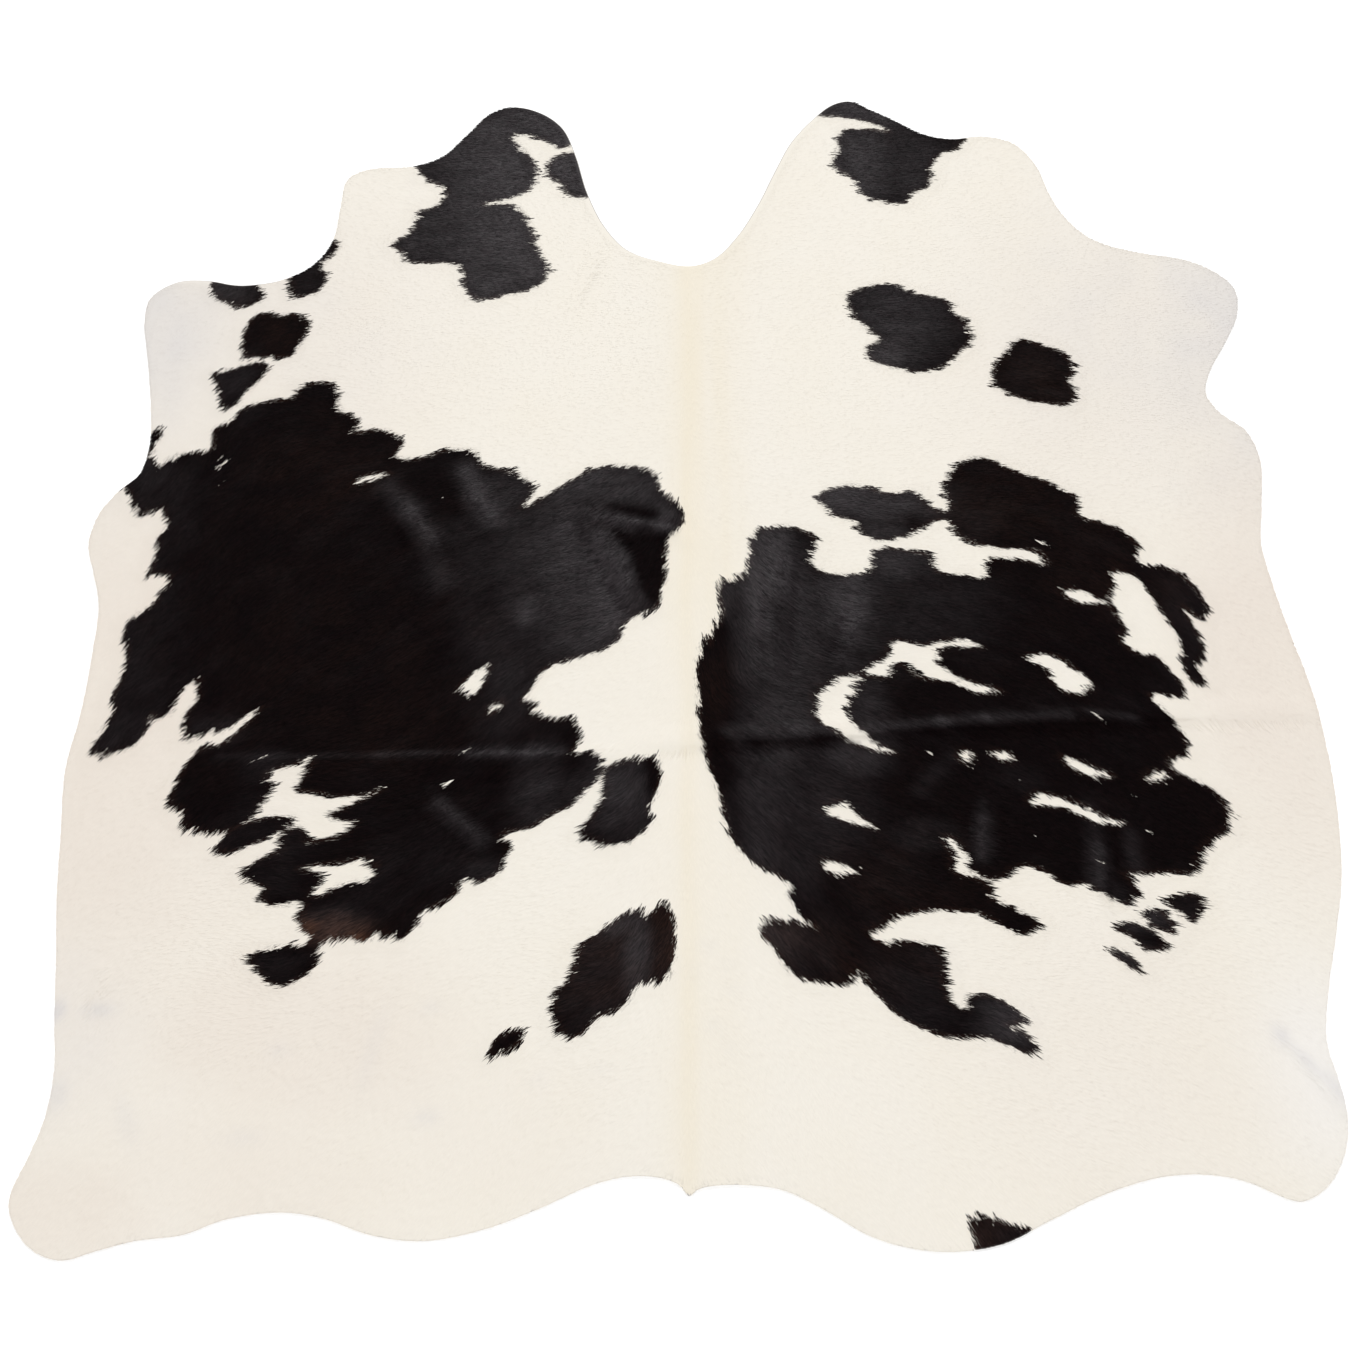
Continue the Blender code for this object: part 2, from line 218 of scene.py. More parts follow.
# The black patches, each a closed run of (across, along) corners. Corners past the rim
# let a patch run off the edge. The locks of hair make their own jagged edges.
PATCHES = {
    "left_foreleg_rim": (
        (-79, 170), (-79, 166.5), (-76.5, 164.4), (-73, 163.6), (-70.3, 165.8),
        (-71.3, 168), (-74, 171.5)),
    "left_neck_rim": (
        (-58.5, 177), (-61, 173), (-60.2, 169.5), (-61.2, 167), (-65.7, 165.8),
        (-66.3, 169.5), (-68.5, 172), (-64, 178)),
    "left_shoulder_high": (
        (-72.3, 160.6), (-73.2, 156), (-72.8, 153.5), (-70.8, 153), (-67.5, 153.1),
        (-64.5, 153.4), (-63.2, 156.5), (-62.3, 160), (-64.5, 162.2), (-67, 161.8),
        (-70.8, 162.2)),
    "left_shoulder_low": (
        (-77.5, 149.4), (-74.5, 150.4), (-70.3, 152), (-68.4, 151.1), (-69, 149),
        (-71.5, 145.8), (-73, 143), (-74.8, 142.3), (-76, 145.5), (-77, 148.3)),
    "left_neck_flap": (
        (-46.8, 195.5), (-45, 192.2), (-41, 189.3), (-43, 185.6), (-46.2, 184.2),
        (-46, 180.8), (-49.8, 177), (-48, 175.5), (-47, 173.5), (-43, 173.2),
        (-38, 172.2), (-36.8, 167), (-34.5, 165.3), (-29.5, 166.3), (-25, 167.9),
        (-23.2, 171.2), (-24.8, 175.5), (-26.1, 180), (-27.5, 183.5), (-29.5, 186),
        (-34.9, 186.2), (-31, 187.2), (-27.5, 189), (-25.5, 192.5), (-26.5, 196),
        (-28.8, 199.5), (-30, 202.1), (-25, 201.2), (-22.2, 199), (-18.5, 200.8),
        (-17, 205), (-24, 211), (-31, 213), (-40, 206), (-48, 198)),
    "left_neck_inner": (
        (-16, 198.5), (-22.5, 197.3), (-24.2, 193.7), (-22, 191.3), (-19.5, 188),
        (-16.5, 187.8), (-13, 189), (-13, 198)),
    "right_neck_flap": (
        (22, 206.8), (26, 206.5), (31, 205.3), (35.2, 202.8), (31.5, 203.6),
        (26.5, 203), (26, 198.5), (25, 195.5), (28, 192.2), (30, 188.3), (33, 186.9),
        (37.2, 186.4), (38.6, 188.8), (41.4, 190.3), (42.2, 195.5), (44.3, 198),
        (46.3, 198.5), (48.3, 201.5), (50, 205), (38, 209), (28, 214), (19, 210)),
    "right_shoulder": (
        (26.6, 166), (31, 168.3), (34, 168.6), (38, 166.5), (43, 165), (44.2, 162.5),
        (46.2, 160), (46.6, 156.5), (44.5, 154), (42, 151.2), (38, 149.9),
        (34.5, 150.6), (30.5, 152.2), (29.3, 155), (31.5, 156.6), (28.5, 160.3),
        (27, 163)),
    "right_foreleg_spot": (
        (54.5, 156.7), (52.3, 154.5), (49.8, 150), (50, 147), (54, 144.5),
        (57.5, 143.4), (62, 143.4), (62.8, 146), (62, 147.3), (63, 150), (61.8, 153.7),
        (58.5, 155.5)),
    "left_side": (
        # down the flank
        (-91, 129), (-89, 126.6), (-87.9, 124.6), (-87.4, 123), (-85.9, 121.3),
        (-85.2, 122), (-82.6, 122.2), (-82.1, 120.8), (-81.6, 119.4), (-82.2, 118.2),
        (-83, 117), (-82.7, 115.2), (-83, 112.4), (-83.5, 109.9), (-82.2, 110.2),
        (-80.3, 109.6), (-80.6, 107.6), (-81.7, 106.9), (-81.6, 105.2), (-84.2, 102.9),
        (-85.6, 102), (-86.1, 100), (-86.3, 97.2), (-85.5, 96.5), (-85.4, 93.6),
        (-85.8, 90.5), (-86.7, 87.5), (-86.1, 85.2), (-87.8, 81.3), (-88.6, 77.8),
        (-85.6, 77.9), (-82.2, 79.3), (-80.4, 83.2), (-80.9, 84.4), (-79.2, 83.7),
        (-77.2, 85.4), (-77, 86.6), (-75.6, 89.5), (-74, 90.5),
        # along the belly
        (-74.1, 89), (-73.6, 87.5), (-75.1, 85), (-75.6, 82.6), (-75.1, 81.2),
        (-75.4, 80.2), (-73.1, 80.2), (-70.7, 82), (-69.4, 81.5), (-66.5, 84),
        (-64.2, 85.6), (-67.9, 80.9), (-69, 79.7), (-72.9, 78.4), (-74, 76.8), (-75.2, 74),
        (-76.3, 69.3), (-74.5, 67.6), (-73.8, 65.5), (-70.3, 64.2),
        (-67.8, 64.4), (-63.8, 66.8), (-62.2, 69.8), (-61, 72.3), (-62.3, 74.3),
        (-58.5, 75.7), (-56, 77), (-56.5, 74.5), (-58, 71.8), (-54.5, 71.2),
        (-52.5, 70.5), (-48, 70.7), (-45, 71.8), (-48.5, 69.6), (-52.8, 67.2),
        (-50.3, 66.2), (-48.6, 66.2), (-51, 63.8), (-53.5, 63.2), (-55.5, 62.9),
        (-55.5, 64.3), (-57.2, 65.5), (-59.8, 63.5), (-59.6, 61.5), (-62.5, 60),
        (-64.7, 57.5), (-63, 56.2), (-61, 55.3), (-61.5, 53.5), (-59.5, 52.3),
        (-55.2, 53), (-56, 50.8), (-54.2, 48.3), (-54.2, 46.5),
        # round the low spot
        (-57, 46.2), (-60.5, 45.5), (-62.5, 44), (-61, 42), (-60, 40.7), (-57.5, 39.7),
        (-55, 40.8), (-52.6, 43.3), (-52.4, 46.3),
        # up the haunch
        (-50.8, 47.6), (-48, 47.4), (-45.6, 46.9), (-44.5, 47.7), (-42.3, 47.4),
        (-41.5, 46.7), (-40, 47.8), (-39.4, 48.9), (-38.1, 50), (-38.7, 50.7),
        (-38, 51.4), (-36.4, 52.5), (-34.9, 53.3), (-32.8, 55.1), (-33.3, 55.8),
        (-32.6, 56.5), (-30.6, 56.2), (-28.6, 57), (-27.1, 58.3), (-26.4, 60.1),
        (-25.8, 62.8), (-27.3, 64.2), (-23, 65.3), (-20.3, 67.3), (-17, 69),
        (-15, 71.5), (-13.3, 73),
        # up beside the spine
        (-12.7, 75.3), (-13.8, 78.2), (-17.1, 78), (-16, 80.3), (-17, 83.8),
        (-19.5, 84), (-23.5, 85.2), (-22.5, 87), (-24.9, 87), (-23.2, 89.7),
        (-22, 92.3), (-17.8, 94.5), (-14.5, 95.3), (-10.5, 98), (-9.5, 101),
        (-4.5, 104.2), (-4, 107.2), (-3.4, 109.5), (-3.2, 116), (-0.8, 119.5),
        (-0.7, 122.5), (-4.2, 126.3), (-5.5, 129.8), (-9.5, 130.9), (-14.5, 130.6),
        # over the shoulder
        (-20, 126.8), (-22.5, 125), (-25.8, 122.8), (-24.3, 126), (-25, 128),
        (-29.5, 130.2), (-32.8, 131), (-34, 133.8), (-37.5, 134.3), (-42.5, 132.4),
        (-46.6, 132.8), (-45.5, 136), (-50, 138.2), (-53.4, 137.4), (-53, 140.2),
        (-56, 142), (-56.5, 145), (-57.8, 147.7), (-63, 146.5), (-63.8, 144.6),
        (-69, 143.7), (-72.5, 141.7), (-73, 140.2), (-76.2, 138), (-75.9, 134.4),
        (-78.3, 133.6), (-81, 133.4), (-82.6, 132.5), (-84.3, 130.9), (-85.6, 133.3),
        (-90, 133)),
    "left_rim_tick": ((-86, 133.6), (-84.4, 137.4), (-85.4, 138.5), (-86.9, 136)),
    "left_belly_lobe": (
        (-69, 61.5), (-67.5, 64.3), (-64.5, 66.2), (-60.5, 67.1), (-57.3, 66.9),
        (-59.8, 64.2), (-63.5, 62.5), (-66, 61.2)),
    "spine_spot": (
        (-12.6, 74.8), (-9.5, 76.5), (-5, 77.2), (-4, 75), (-4.8, 70.5), (-5.8, 68.3),
        (-4.8, 67), (-6.3, 64.8), (-9.5, 62.3), (-12.5, 62.5), (-15.8, 64.5),
        (-14.3, 67), (-12.8, 69.7), (-12.3, 72.5)),
    "left_rump_spot": (
        (-2, 50), (-3.3, 52.5), (-6, 51), (-7.5, 51.7), (-12, 48.9), (-15.2, 46.3),
        (-16.4, 43.5), (-17.2, 40.3), (-19.2, 38.8), (-19, 35.8), (-18.7, 34),
        (-17, 31.7), (-14.5, 32.8), (-12.7, 35), (-9, 36.7), (-7.6, 39.3),
        (-5.5, 40.3), (-3.2, 40.7), (-2.1, 44), (-1.9, 48)),
    "left_rump_fleck": (
        (-28, 29.2), (-26.8, 32), (-24, 33.1), (-22.8, 33), (-24.3, 30.5),
        (-26.3, 29.4)),
    "right_side": (
        # up beside the spine
        (16, 50.5), (14.4, 54), (14, 56.5), (9.8, 59), (7.2, 62), (5.6, 65.5),
        (5.2, 68.5), (3.8, 73), (2.2, 79), (1.5, 84), (1.5, 88), (1.1, 91.5), (2, 97),
        (2.4, 98.8), (3.3, 97.4), (3.8, 99.8), (5.4, 102.6), (4.8, 106.5),
        (5.6, 108.8), (8, 109.2), (9.8, 114.8), (10, 117.8), (13.5, 119.1),
        (16.5, 118.9), (20, 117), (20, 115), (19.4, 112), (21.5, 110.3), (28.3, 110.6),
        (28.4, 113.3), (30, 115.1), (33.5, 114.6), (37.5, 113.6), (38.9, 110.5),
        (42, 110.3), (45.8, 109.4), (46.2, 112.2), (49, 113.5), (52, 112.8),
        (55.9, 112), (55, 114.2), (50.5, 114.7), (46, 115.5), (42.5, 117.4),
        (41, 119.8),
        # round the withers lobe
        (39.5, 120.3), (37, 119), (34, 117.2), (29.5, 116.4), (27.5, 117.8),
        (26, 120.1), (22, 121.8), (20.6, 125), (24, 126.8), (28.5, 126.7),
        (31.5, 125.5), (36, 126), (38, 123.6), (40, 121.8),
        # over the shoulder
        (41, 122.5), (40.5, 126.5), (42, 130), (45, 132.3), (48, 132.3), (51.3, 130.3),
        (55, 128.8), (59, 126.6), (61.7, 124.5), (61.3, 121.3), (67, 119.2),
        (70.3, 115.5), (70, 112.5), (75.5, 110.8), (79.3, 105.8), (79.8, 103),
        (78.6, 101.8), (76.3, 104), (78.2, 98.5), (78.6, 95), (77.4, 93.3), (78.4, 90),
        (76.5, 90.1), (74.8, 93.8), (75, 97.5), (72.5, 103.5), (70.2, 108), (68.5, 110),
        (66, 110.3), (66.2, 108.5), (64.7, 105.5), (66.5, 101.3), (67.2, 99.8),
        # down the flank
        (66.1, 98), (67.5, 96), (71.5, 94.8), (74.5, 90), (75, 87.8), (69.6, 88),
        (72.3, 84.7), (74.3, 80), (74.2, 77.8), (71.5, 76.8), (71.4, 75.2),
        (76.5, 72.5), (79, 68.8), (79, 65.3), (75, 62), (74, 59.5), (73.3, 58),
        (69.5, 58), (66.5, 57.6), (63.2, 57.7), (64.8, 55), (63, 52.6), (60, 54),
        (57.5, 56.1), (54.5, 55.8), (51.4, 58.2), (48.5, 59), (44, 56.5),
        # round the haunch
        (40.3, 58.6), (40.3, 60.3), (39.4, 62.5), (38.3, 63.9), (37.3, 63.2),
        (38.5, 60), (38, 58.3), (42, 56.8), (43.8, 55.3), (43.8, 53.8), (46.5, 52.3),
        (50.3, 49.4), (47.5, 47.8), (45.2, 48.8), (42.5, 51), (37.3, 51.8),
        (31.5, 51.3), (28, 49.3), (25.6, 48), (27.5, 46.7), (31.5, 47.1), (35, 45.8),
        (36.3, 43.8), (36.2, 40), (37, 37.2), (39, 36.3), (38.8, 37.8), (41.5, 38.5),
        (45.5, 36.8), (47.3, 34.5), (44.9, 33.6), (46.5, 33), (48.6, 30.5),
        (48.3, 29.4), (45, 30.2), (42, 31.8), (36.5, 32), (31, 34.2), (27.3, 37.4),
        (25.3, 40.3), (24.3, 42), (22.5, 40.3), (17.5, 40.5), (14.2, 42), (12.2, 45.7),
        (10.3, 48.3), (11.5, 50.3), (15.5, 49.9), (18.5, 48.8), (17, 50)),
    "right_haunch_spot_1": ((59.9, 46), (62.5, 44.8), (64.5, 41.8), (62, 43), (60.5, 44.9)),
    "right_haunch_spot_2": ((60.8, 49.2), (63.8, 49.9), (68.5, 46.2), (65, 45.5), (63, 47.6)),
    "right_haunch_spot_3": ((64.7, 51.3), (67.5, 52), (69.7, 47.9), (66.5, 49.2)),
    "right_haunch_spot_4": (
        (68.3, 53.5), (71, 54.4), (73.8, 54.2), (73.5, 51.5), (72, 49.8), (69.5, 52)),
    "right_rump_rim": ((38, 6), (42.5, 5), (46.5, 3.6), (44, 0), (39, -1), (38.3, 2.5)),
}

# White openings in the patches, in the same way.
GAPS = {
    "left_belly_gap": (
        (-56.3, 58.4), (-53, 59.3), (-50, 59.5), (-46.8, 60.2), (-46.4, 59.2),
        (-45.2, 58.8), (-46.2, 58), (-45.2, 57.6), (-46.6, 56.6), (-48.7, 56.6),
        (-50.6, 55.7), (-53.1, 54), (-54.2, 54.3), (-52.7, 56.5), (-53.3, 57.8)),
    "left_ribs_slit": ((-53, 127.2), (-51, 127.8), (-47.3, 129.3), (-51, 129)),
    "left_loin_gap": ((-34.5, 89), (-31.8, 88.6), (-30.2, 93.3), (-33, 91.2)),
    "left_loin_fleck": ((-29.8, 84.6), (-27.6, 86.4), (-29.6, 86.4)),
    "right_crescent": (
        (19, 88), (21, 89.8), (25, 91.8), (26, 91), (24.2, 87.5), (23.8, 84.5),
        (26, 81.3), (28.3, 79.2), (31, 78), (27.5, 78.5), (23.5, 80.3), (19, 84.3),
        (19.3, 86.5)),
    "right_branch": (
        (26.3, 91.8), (30.3, 95), (31.5, 97.8), (36, 97), (41, 98), (44.8, 96.6),
        (39.3, 96.7), (37.5, 94.5), (41, 91), (47.5, 88.8), (43.5, 88.5), (40.5, 90.3),
        (35, 91.2), (31.8, 94), (30, 91.2), (28, 91.2)),
    "right_ribs_oval": (
        (51.3, 94.7), (55.5, 95.2), (58.3, 93), (61, 89.6), (57.8, 88.2), (55.5, 90),
        (54, 93.2)),
    "right_ribs_nick": ((57.8, 106.5), (59.5, 107.3), (63.8, 104.8), (60, 104.8)),
    "right_loin_slit": ((55.3, 77.3), (59.5, 75.8), (63, 74), (58, 74.4)),
    "right_loin_fleck": ((45, 78), (47.6, 78), (48.4, 76.8), (46.6, 76.5)),
    "right_loin_dot": ((40, 77.3), (41.3, 78.4), (42.4, 77.4), (40.8, 76.2)),
    "right_haunch_slit": (
        (50.2, 69.3), (51, 71), (55, 70.2), (58.2, 69), (61.5, 66.8), (64, 66),
        (60, 66), (55.2, 68.6), (52, 69)),
    "right_flank_nick": ((67.5, 73.4), (69, 74.8), (71, 74.4), (69.5, 73.2)),
    "right_hook": (
        (20.2, 67.8), (22.7, 69.8), (24.2, 67.7), (27.5, 65.2), (24.5, 66), (22.5, 66.7)),
    "right_low_slit": ((19.5, 59.8), (22.3, 59.1), (23.6, 57.8), (20, 58.2)),
}

# Thin runs of white hairs in the black. The columns are those of Streak.
STREAKS = (
    (-75.2, 130.3, -72.6, 132.4, 2.6), (-74.6, 132.2, -73.6, 133.4, 1.6),
    (-73, 131.6, -71, 132.2, 0.8), (-37, 71.8, -33.8, 73.6, 2.0),
    (-34.5, 77.5, -31.8, 78.8, 1.4),
    (-66, 75.6, -62.3, 77.6, 1.5), (-75.3, 126.2, -73, 128, 1.3),
    (-13.8, 102.3, -12, 102.8, 0.5), (-58.7, 124.2, -57.8, 124.6, 0.9),
    (-39.2, 124.2, -38, 125.2, 0.6), (-46.2, 118, -45.2, 118.8, 0.5),
    (-12.8, 35.4, -12.3, 36.4, 2.5), (54.2, 116.6, 56.2, 115.6, 3.0),
    (60, 85, 62.5, 83, 1.6), (40.3, 76.5, 43, 74.6, 0.9), (35.3, 78.2, 37, 77.3, 1.4),
    (47.6, 74.2, 49.6, 72.8, 1.2), (64.5, 71.2, 65.8, 69.8, 1.2),
    (66.5, 65.2, 67.8, 64.1, 1.2), (58.3, 59.8, 60.5, 59.2, 1.4),
    (17.5, 61.5, 19.2, 61, 0.5), (24, 59, 25.2, 58.7, 0.8), (49.5, 64.3, 51, 63.5, 0.6),
    (28, 54, 30, 53, 0.6), (41.5, 101.7, 42.5, 101.2, 0.5), (39.3, 71.2, 40, 71, 0.6),
    (31.2, 61.4, 31.8, 61.1, 0.6),
)

# Painted sheen: where the black hair's colour is lightened to grey-black to stand in for the
# light it throws back, and its real coat is glossier. Elsewhere it is a deep brown-black.
PAINTED_SHEEN_ZONES = (
    # the neck flaps and shoulders
    Zone(-25, 187, 19, 44, 1.0), Zone(-42, 186, 12, 28, 0.6),
    Zone(-18, 193, 7, 10, 1.0), Zone(27, 199, 9, 24, 0.8), Zone(31, 208, 9, 7, 0.95),
    Zone(37, 195, 10, 18, 0.42), Zone(34, 161, 10, 12, 0.52),
    Zone(32, 154, 5, 4, 0.85), Zone(43, 157, 5, 9, 0.2),
    Zone(-77, 168, 6, 5, 0.45), Zone(-75, 148, 6, 7, 0.2),
    Zone(-62, 171, 7, 8, 0.15), Zone(57, 149, 9, 9, 0.06),
    # the left side
    Zone(-12, 128, 15, 6, 0.61), Zone(-12.5, 108, 7, 19, 0.8),
    Zone(-19, 113, 7, 22, 0.56), Zone(-24.5, 113, 7, 17, 0.38),
    Zone(-31, 114, 8, 15, 0.19), Zone(-28, 126, 6, 5, 0.38),
    Zone(-15, 97, 7, 6, 0.55), Zone(-26, 93, 8, 13, 0.26),
    Zone(-84, 121, 7, 12, 0.13), Zone(-87, 130, 5, 5, 0.3),
    Zone(-84, 96, 7, 20, 0.14), Zone(-84, 81, 7, 6, 0.22),
    Zone(-70.5, 82, 4, 3, 0.3), Zone(-62, 75.5, 4, 3, 0.2),
    Zone(-22, 72, 4, 8, 0.39), Zone(-16, 71, 4, 4, 0.3),
    Zone(-10, 72, 5, 7.5, 0.6), Zone(-6, 68, 4, 6, 0.4),
    Zone(-11, 43, 11, 12, 0.2), Zone(-7.4, 44.5, 2.2, 8, 0.95),
    Zone(-10.5, 49.5, 4, 2.5, 0.75), Zone(-62, 62, 8, 8, 0.12),
    Zone(-44, 56, 6, 8, 0.08), Zone(-36, 60, 5, 6, 0.1),
    Zone(-29, 57.5, 4, 3, 0.3), Zone(-3.5, 119, 3, 4.5, 0.6),
    Zone(-50.5, 49.3, 5, 3, 0.45), Zone(-58, 43, 4, 3.5, 0.1),
    # the right withers and ribs
    Zone(12.5, 112, 5.5, 10, 1.0), Zone(14.5, 100, 9, 18, 0.47),
    Zone(5, 106, 3, 5, 0.45), Zone(24, 104, 6, 9, 0.62),
    Zone(31, 113, 6, 5, 0.62), Zone(37, 112, 5, 3, 0.36),
    Zone(24, 126, 7, 5, 1.1), Zone(31, 124, 7, 6, 0.75),
    Zone(31, 118.5, 6, 3, 0.52), Zone(36, 124, 6, 5, 0.42),
    Zone(22, 96, 9, 9, 0.3), Zone(36, 104, 11, 8, 0.23),
    Zone(43, 119, 6, 6, 0.13), Zone(26, 86, 4, 8, 0.36),
    Zone(76, 98, 6, 16, 0.12), Zone(79, 104, 3, 8, 0.12),
    # the right loin, haunch and rump
    Zone(14.5, 84, 6.5, 8, 0.52), Zone(6.5, 80, 4, 5, 0.24),
    Zone(13.2, 77.5, 3.2, 5, 0.54), Zone(11, 68, 4, 16, 0.42),
    Zone(15.5, 69, 5.5, 17, 0.3), Zone(21, 70, 7, 12, 0.24),
    Zone(9, 66, 6, 16, 0.16), Zone(25, 60, 12, 12, 0.05),
    Zone(25, 78.5, 5, 5, 0.6), Zone(34, 64, 5, 3, 0.23), Zone(50, 74, 4, 3, 0.1),
    Zone(12.5, 47.5, 5, 5, 0.44), Zone(17, 46, 5, 8, 0.14),
    Zone(31.5, 40, 7, 8, 0.16), Zone(45, 34.5, 4.6, 4.8, 0.8),
    Zone(61.8, 44.5, 5, 2.5, 0.55), Zone(65, 50.5, 5, 2.5, 0.5),
    Zone(72, 52, 4, 4, 0.14), Zone(41, 3, 6, 5, 0.2),
)

# Soft bands of painted sheen (where stronger) and painted shade (where weaker) in the black's
# colour, along its folds, waves and the pucker; they make the real coat glossier or less so too.
PAINTED_SHEEN_BANDS = (
    # the left shoulder's waves, and the ribs
    Band(-47.5, 127, -45, 123.8, 1.6, 0.45), Band(-43.6, 122, -40.6, 117.2, 1.6, 0.83),
    Band(-40, 114, -38, 108.5, 1.8, 0.25), Band(-35, 130, -33.3, 125.5, 1.6, 0.85),
    Band(-33, 124.5, -30.5, 120.5, 1.6, 0.85), Band(-38, 126, -36.6, 122, 1.1, -0.1),
    Band(-19.3, 127, -18.8, 99, 1.3, 0.14),
    Band(-14, 117, -12.5, 110, 1.3, 0.3), Band(-10.5, 110, -10, 106, 1.2, 0.3),
    Band(-16, 113, -15.8, 106, 1.0, -0.1), Band(-25, 104.5, -25, 101.5, 1.4, 0.58),
    Band(-13, 104.5, -11.5, 101, 1.6, 0.26),
    # the pucker
    Band(-14.5, 120.6, -8, 119.6, 0.7, 0.4), Band(-8, 119.6, -3, 118.9, 0.6, 0.4),
    Band(-12.5, 123, -8, 121.8, 0.9, -0.5), Band(-8, 121.8, -5.5, 121.5, 0.8, -0.5),
    Band(-14.6, 119, -12.5, 118.6, 0.7, -0.4), Band(-4.2, 124, -3.6, 118, 1.3, 0.15),
    # the left end of the middle fold, and the loin
    Band(-70, 77.2, -46, 77.4, 0.5, 0.2), Band(-46, 77.4, -33, 78, 0.5, 0.42),
    Band(-32.5, 77.9, -19, 78, 0.8, 0.85), Band(-36.6, 69.2, -30.2, 63, 1.3, 0.52),
    Band(-5.2, 76, -5.2, 71.5, 1.4, -0.3), Band(-13, 74, -11.5, 70, 1.0, 0.1),
    # the right withers and ribs
    Band(11, 110, 11, 101, 1.5, 0.54), Band(17.2, 116.8, 17, 113, 1.2, -0.2),
    Band(11.5, 100, 12.5, 92, 2.2, 0.08), Band(25.3, 109.5, 25.3, 101, 1.8, 0.5),
    Band(25.3, 101, 24, 95, 1.7, 0.2), Band(17.6, 107, 17.6, 99, 1.6, 0.09),
    Band(35.2, 121, 35, 119, 1.2, -0.3),
    Band(29, 117, 29, 112.5, 1.0, 0.24),
    Band(4, 100, 4.5, 74, 2.0, -0.3),
    # along the middle fold, right
    Band(5, 81.4, 17, 81.8, 1.0, 0.2), Band(17, 81.9, 28, 81.9, 0.9, 0.36),
    Band(28, 82, 38, 83, 0.8, 0.5), Band(38, 83, 45, 83.7, 0.8, 0.5),
    Band(45, 83.7, 57, 84.4, 0.8, 0.36), Band(60, 85, 67, 83.6, 0.6, 0.3),
    Band(3, 79, 10, 79.1, 0.5, -0.1), Band(10, 79.2, 20, 79.7, 0.6, -0.4),
    Band(20, 79.8, 26, 80.3, 0.6, -0.4), Band(29, 79.4, 41, 80.8, 0.8, 0.07),
    # the right loin and haunch
    Band(39, 77, 34, 71.5, 1.2, 0.2), Band(20, 70.5, 20, 67.5, 1.4, 0.15),
    Band(42.5, 60.5, 43.2, 66.5, 1.0, 0.65), Band(43.2, 67, 43.5, 69.5, 0.8, 0.22),
    Band(59.4, 61.5, 59.2, 56, 1.2, 0.72), Band(59.2, 69, 59.4, 62, 1.2, 0.2),
    Band(64.5, 64, 64.8, 59, 1.1, 0.3), Band(62, 55, 61.5, 53.5, 1.0, 0.3),
)

# Painted shade: sharp hollows where the black's painted sheen is taken out, so that its colour is
# deep black.
PAINTED_SHADE_HOLLOWS = {
    "pucker_wedge": ((-12.3, 118.4), (-8, 117.7), (-1.5, 117), (-1, 110), (-3, 105.5),
                     (-5, 104.2), (-7.4, 107), (-9.2, 113)),
    "pucker_nick": ((-12, 123), (-7.5, 122.2), (-4.6, 121.5), (-5.4, 120.6), (-8.5, 120.9)),
}

# Where the black turns brown.
BROWN_ZONES = (
    Zone(-50.5, 48.6, 5.5, 2.6, 0.5, -6), Zone(-54.3, 48.9, 1.6, 1.4, 0.9),
    Zone(-47.2, 47.2, 1.6, 0.9, 0.85), Zone(-58, 130, 12, 11, 0.035),
    Zone(-50, 98, 24, 20, 0.02), Zone(57, 149, 8, 8, 0.06),
    Zone(66, 112, 16, 12, 0.03), Zone(48, 123, 12, 7, 0.05),
    Zone(24, 45, 12, 7, 0.045), Zone(30, 56, 14, 8, 0.03),
    Zone(13, 46.5, 4, 5, 0.12), Zone(-12, 42, 8, 9, 0.08),
    Zone(-3.4, 46, 2.5, 5, 0.24), Zone(3.5, 90, 4, 12, 0.035),
    Zone(-69, 158, 8, 8, 0.05), Zone(41, 3, 5, 4, 0.08), Zone(-45, 82, 16, 8, 0.03),
)

# Where the white hair is tanned by wear, over the flanks and haunches.
TAN_ZONES = (
    Zone(-86, 82, 28, 60, 0.9), Zone(-56, 33, 26, 17, 0.74, -8),
    Zone(-84, 6, 17, 10, 0.64), Zone(-62, 13, 26, 15, 0.46),
    Zone(-72, 155, 34, 34, 0.42), Zone(72, 150, 32, 36, 0.4),
    Zone(90, 98, 16, 40, 1.0), Zone(-30, 20, 20, 14, 0.25),
    Zone(60, 30, 26, 26, 0.32),
)

# Where the white is a colder, chalkier white than elsewhere.
CHALK_ZONES = (
    Zone(87.5, 27, 8, 16, 1.0), Zone(-88, 42, 5, 8, 0.5), Zone(-84, 30, 10, 10, 0.3),
)

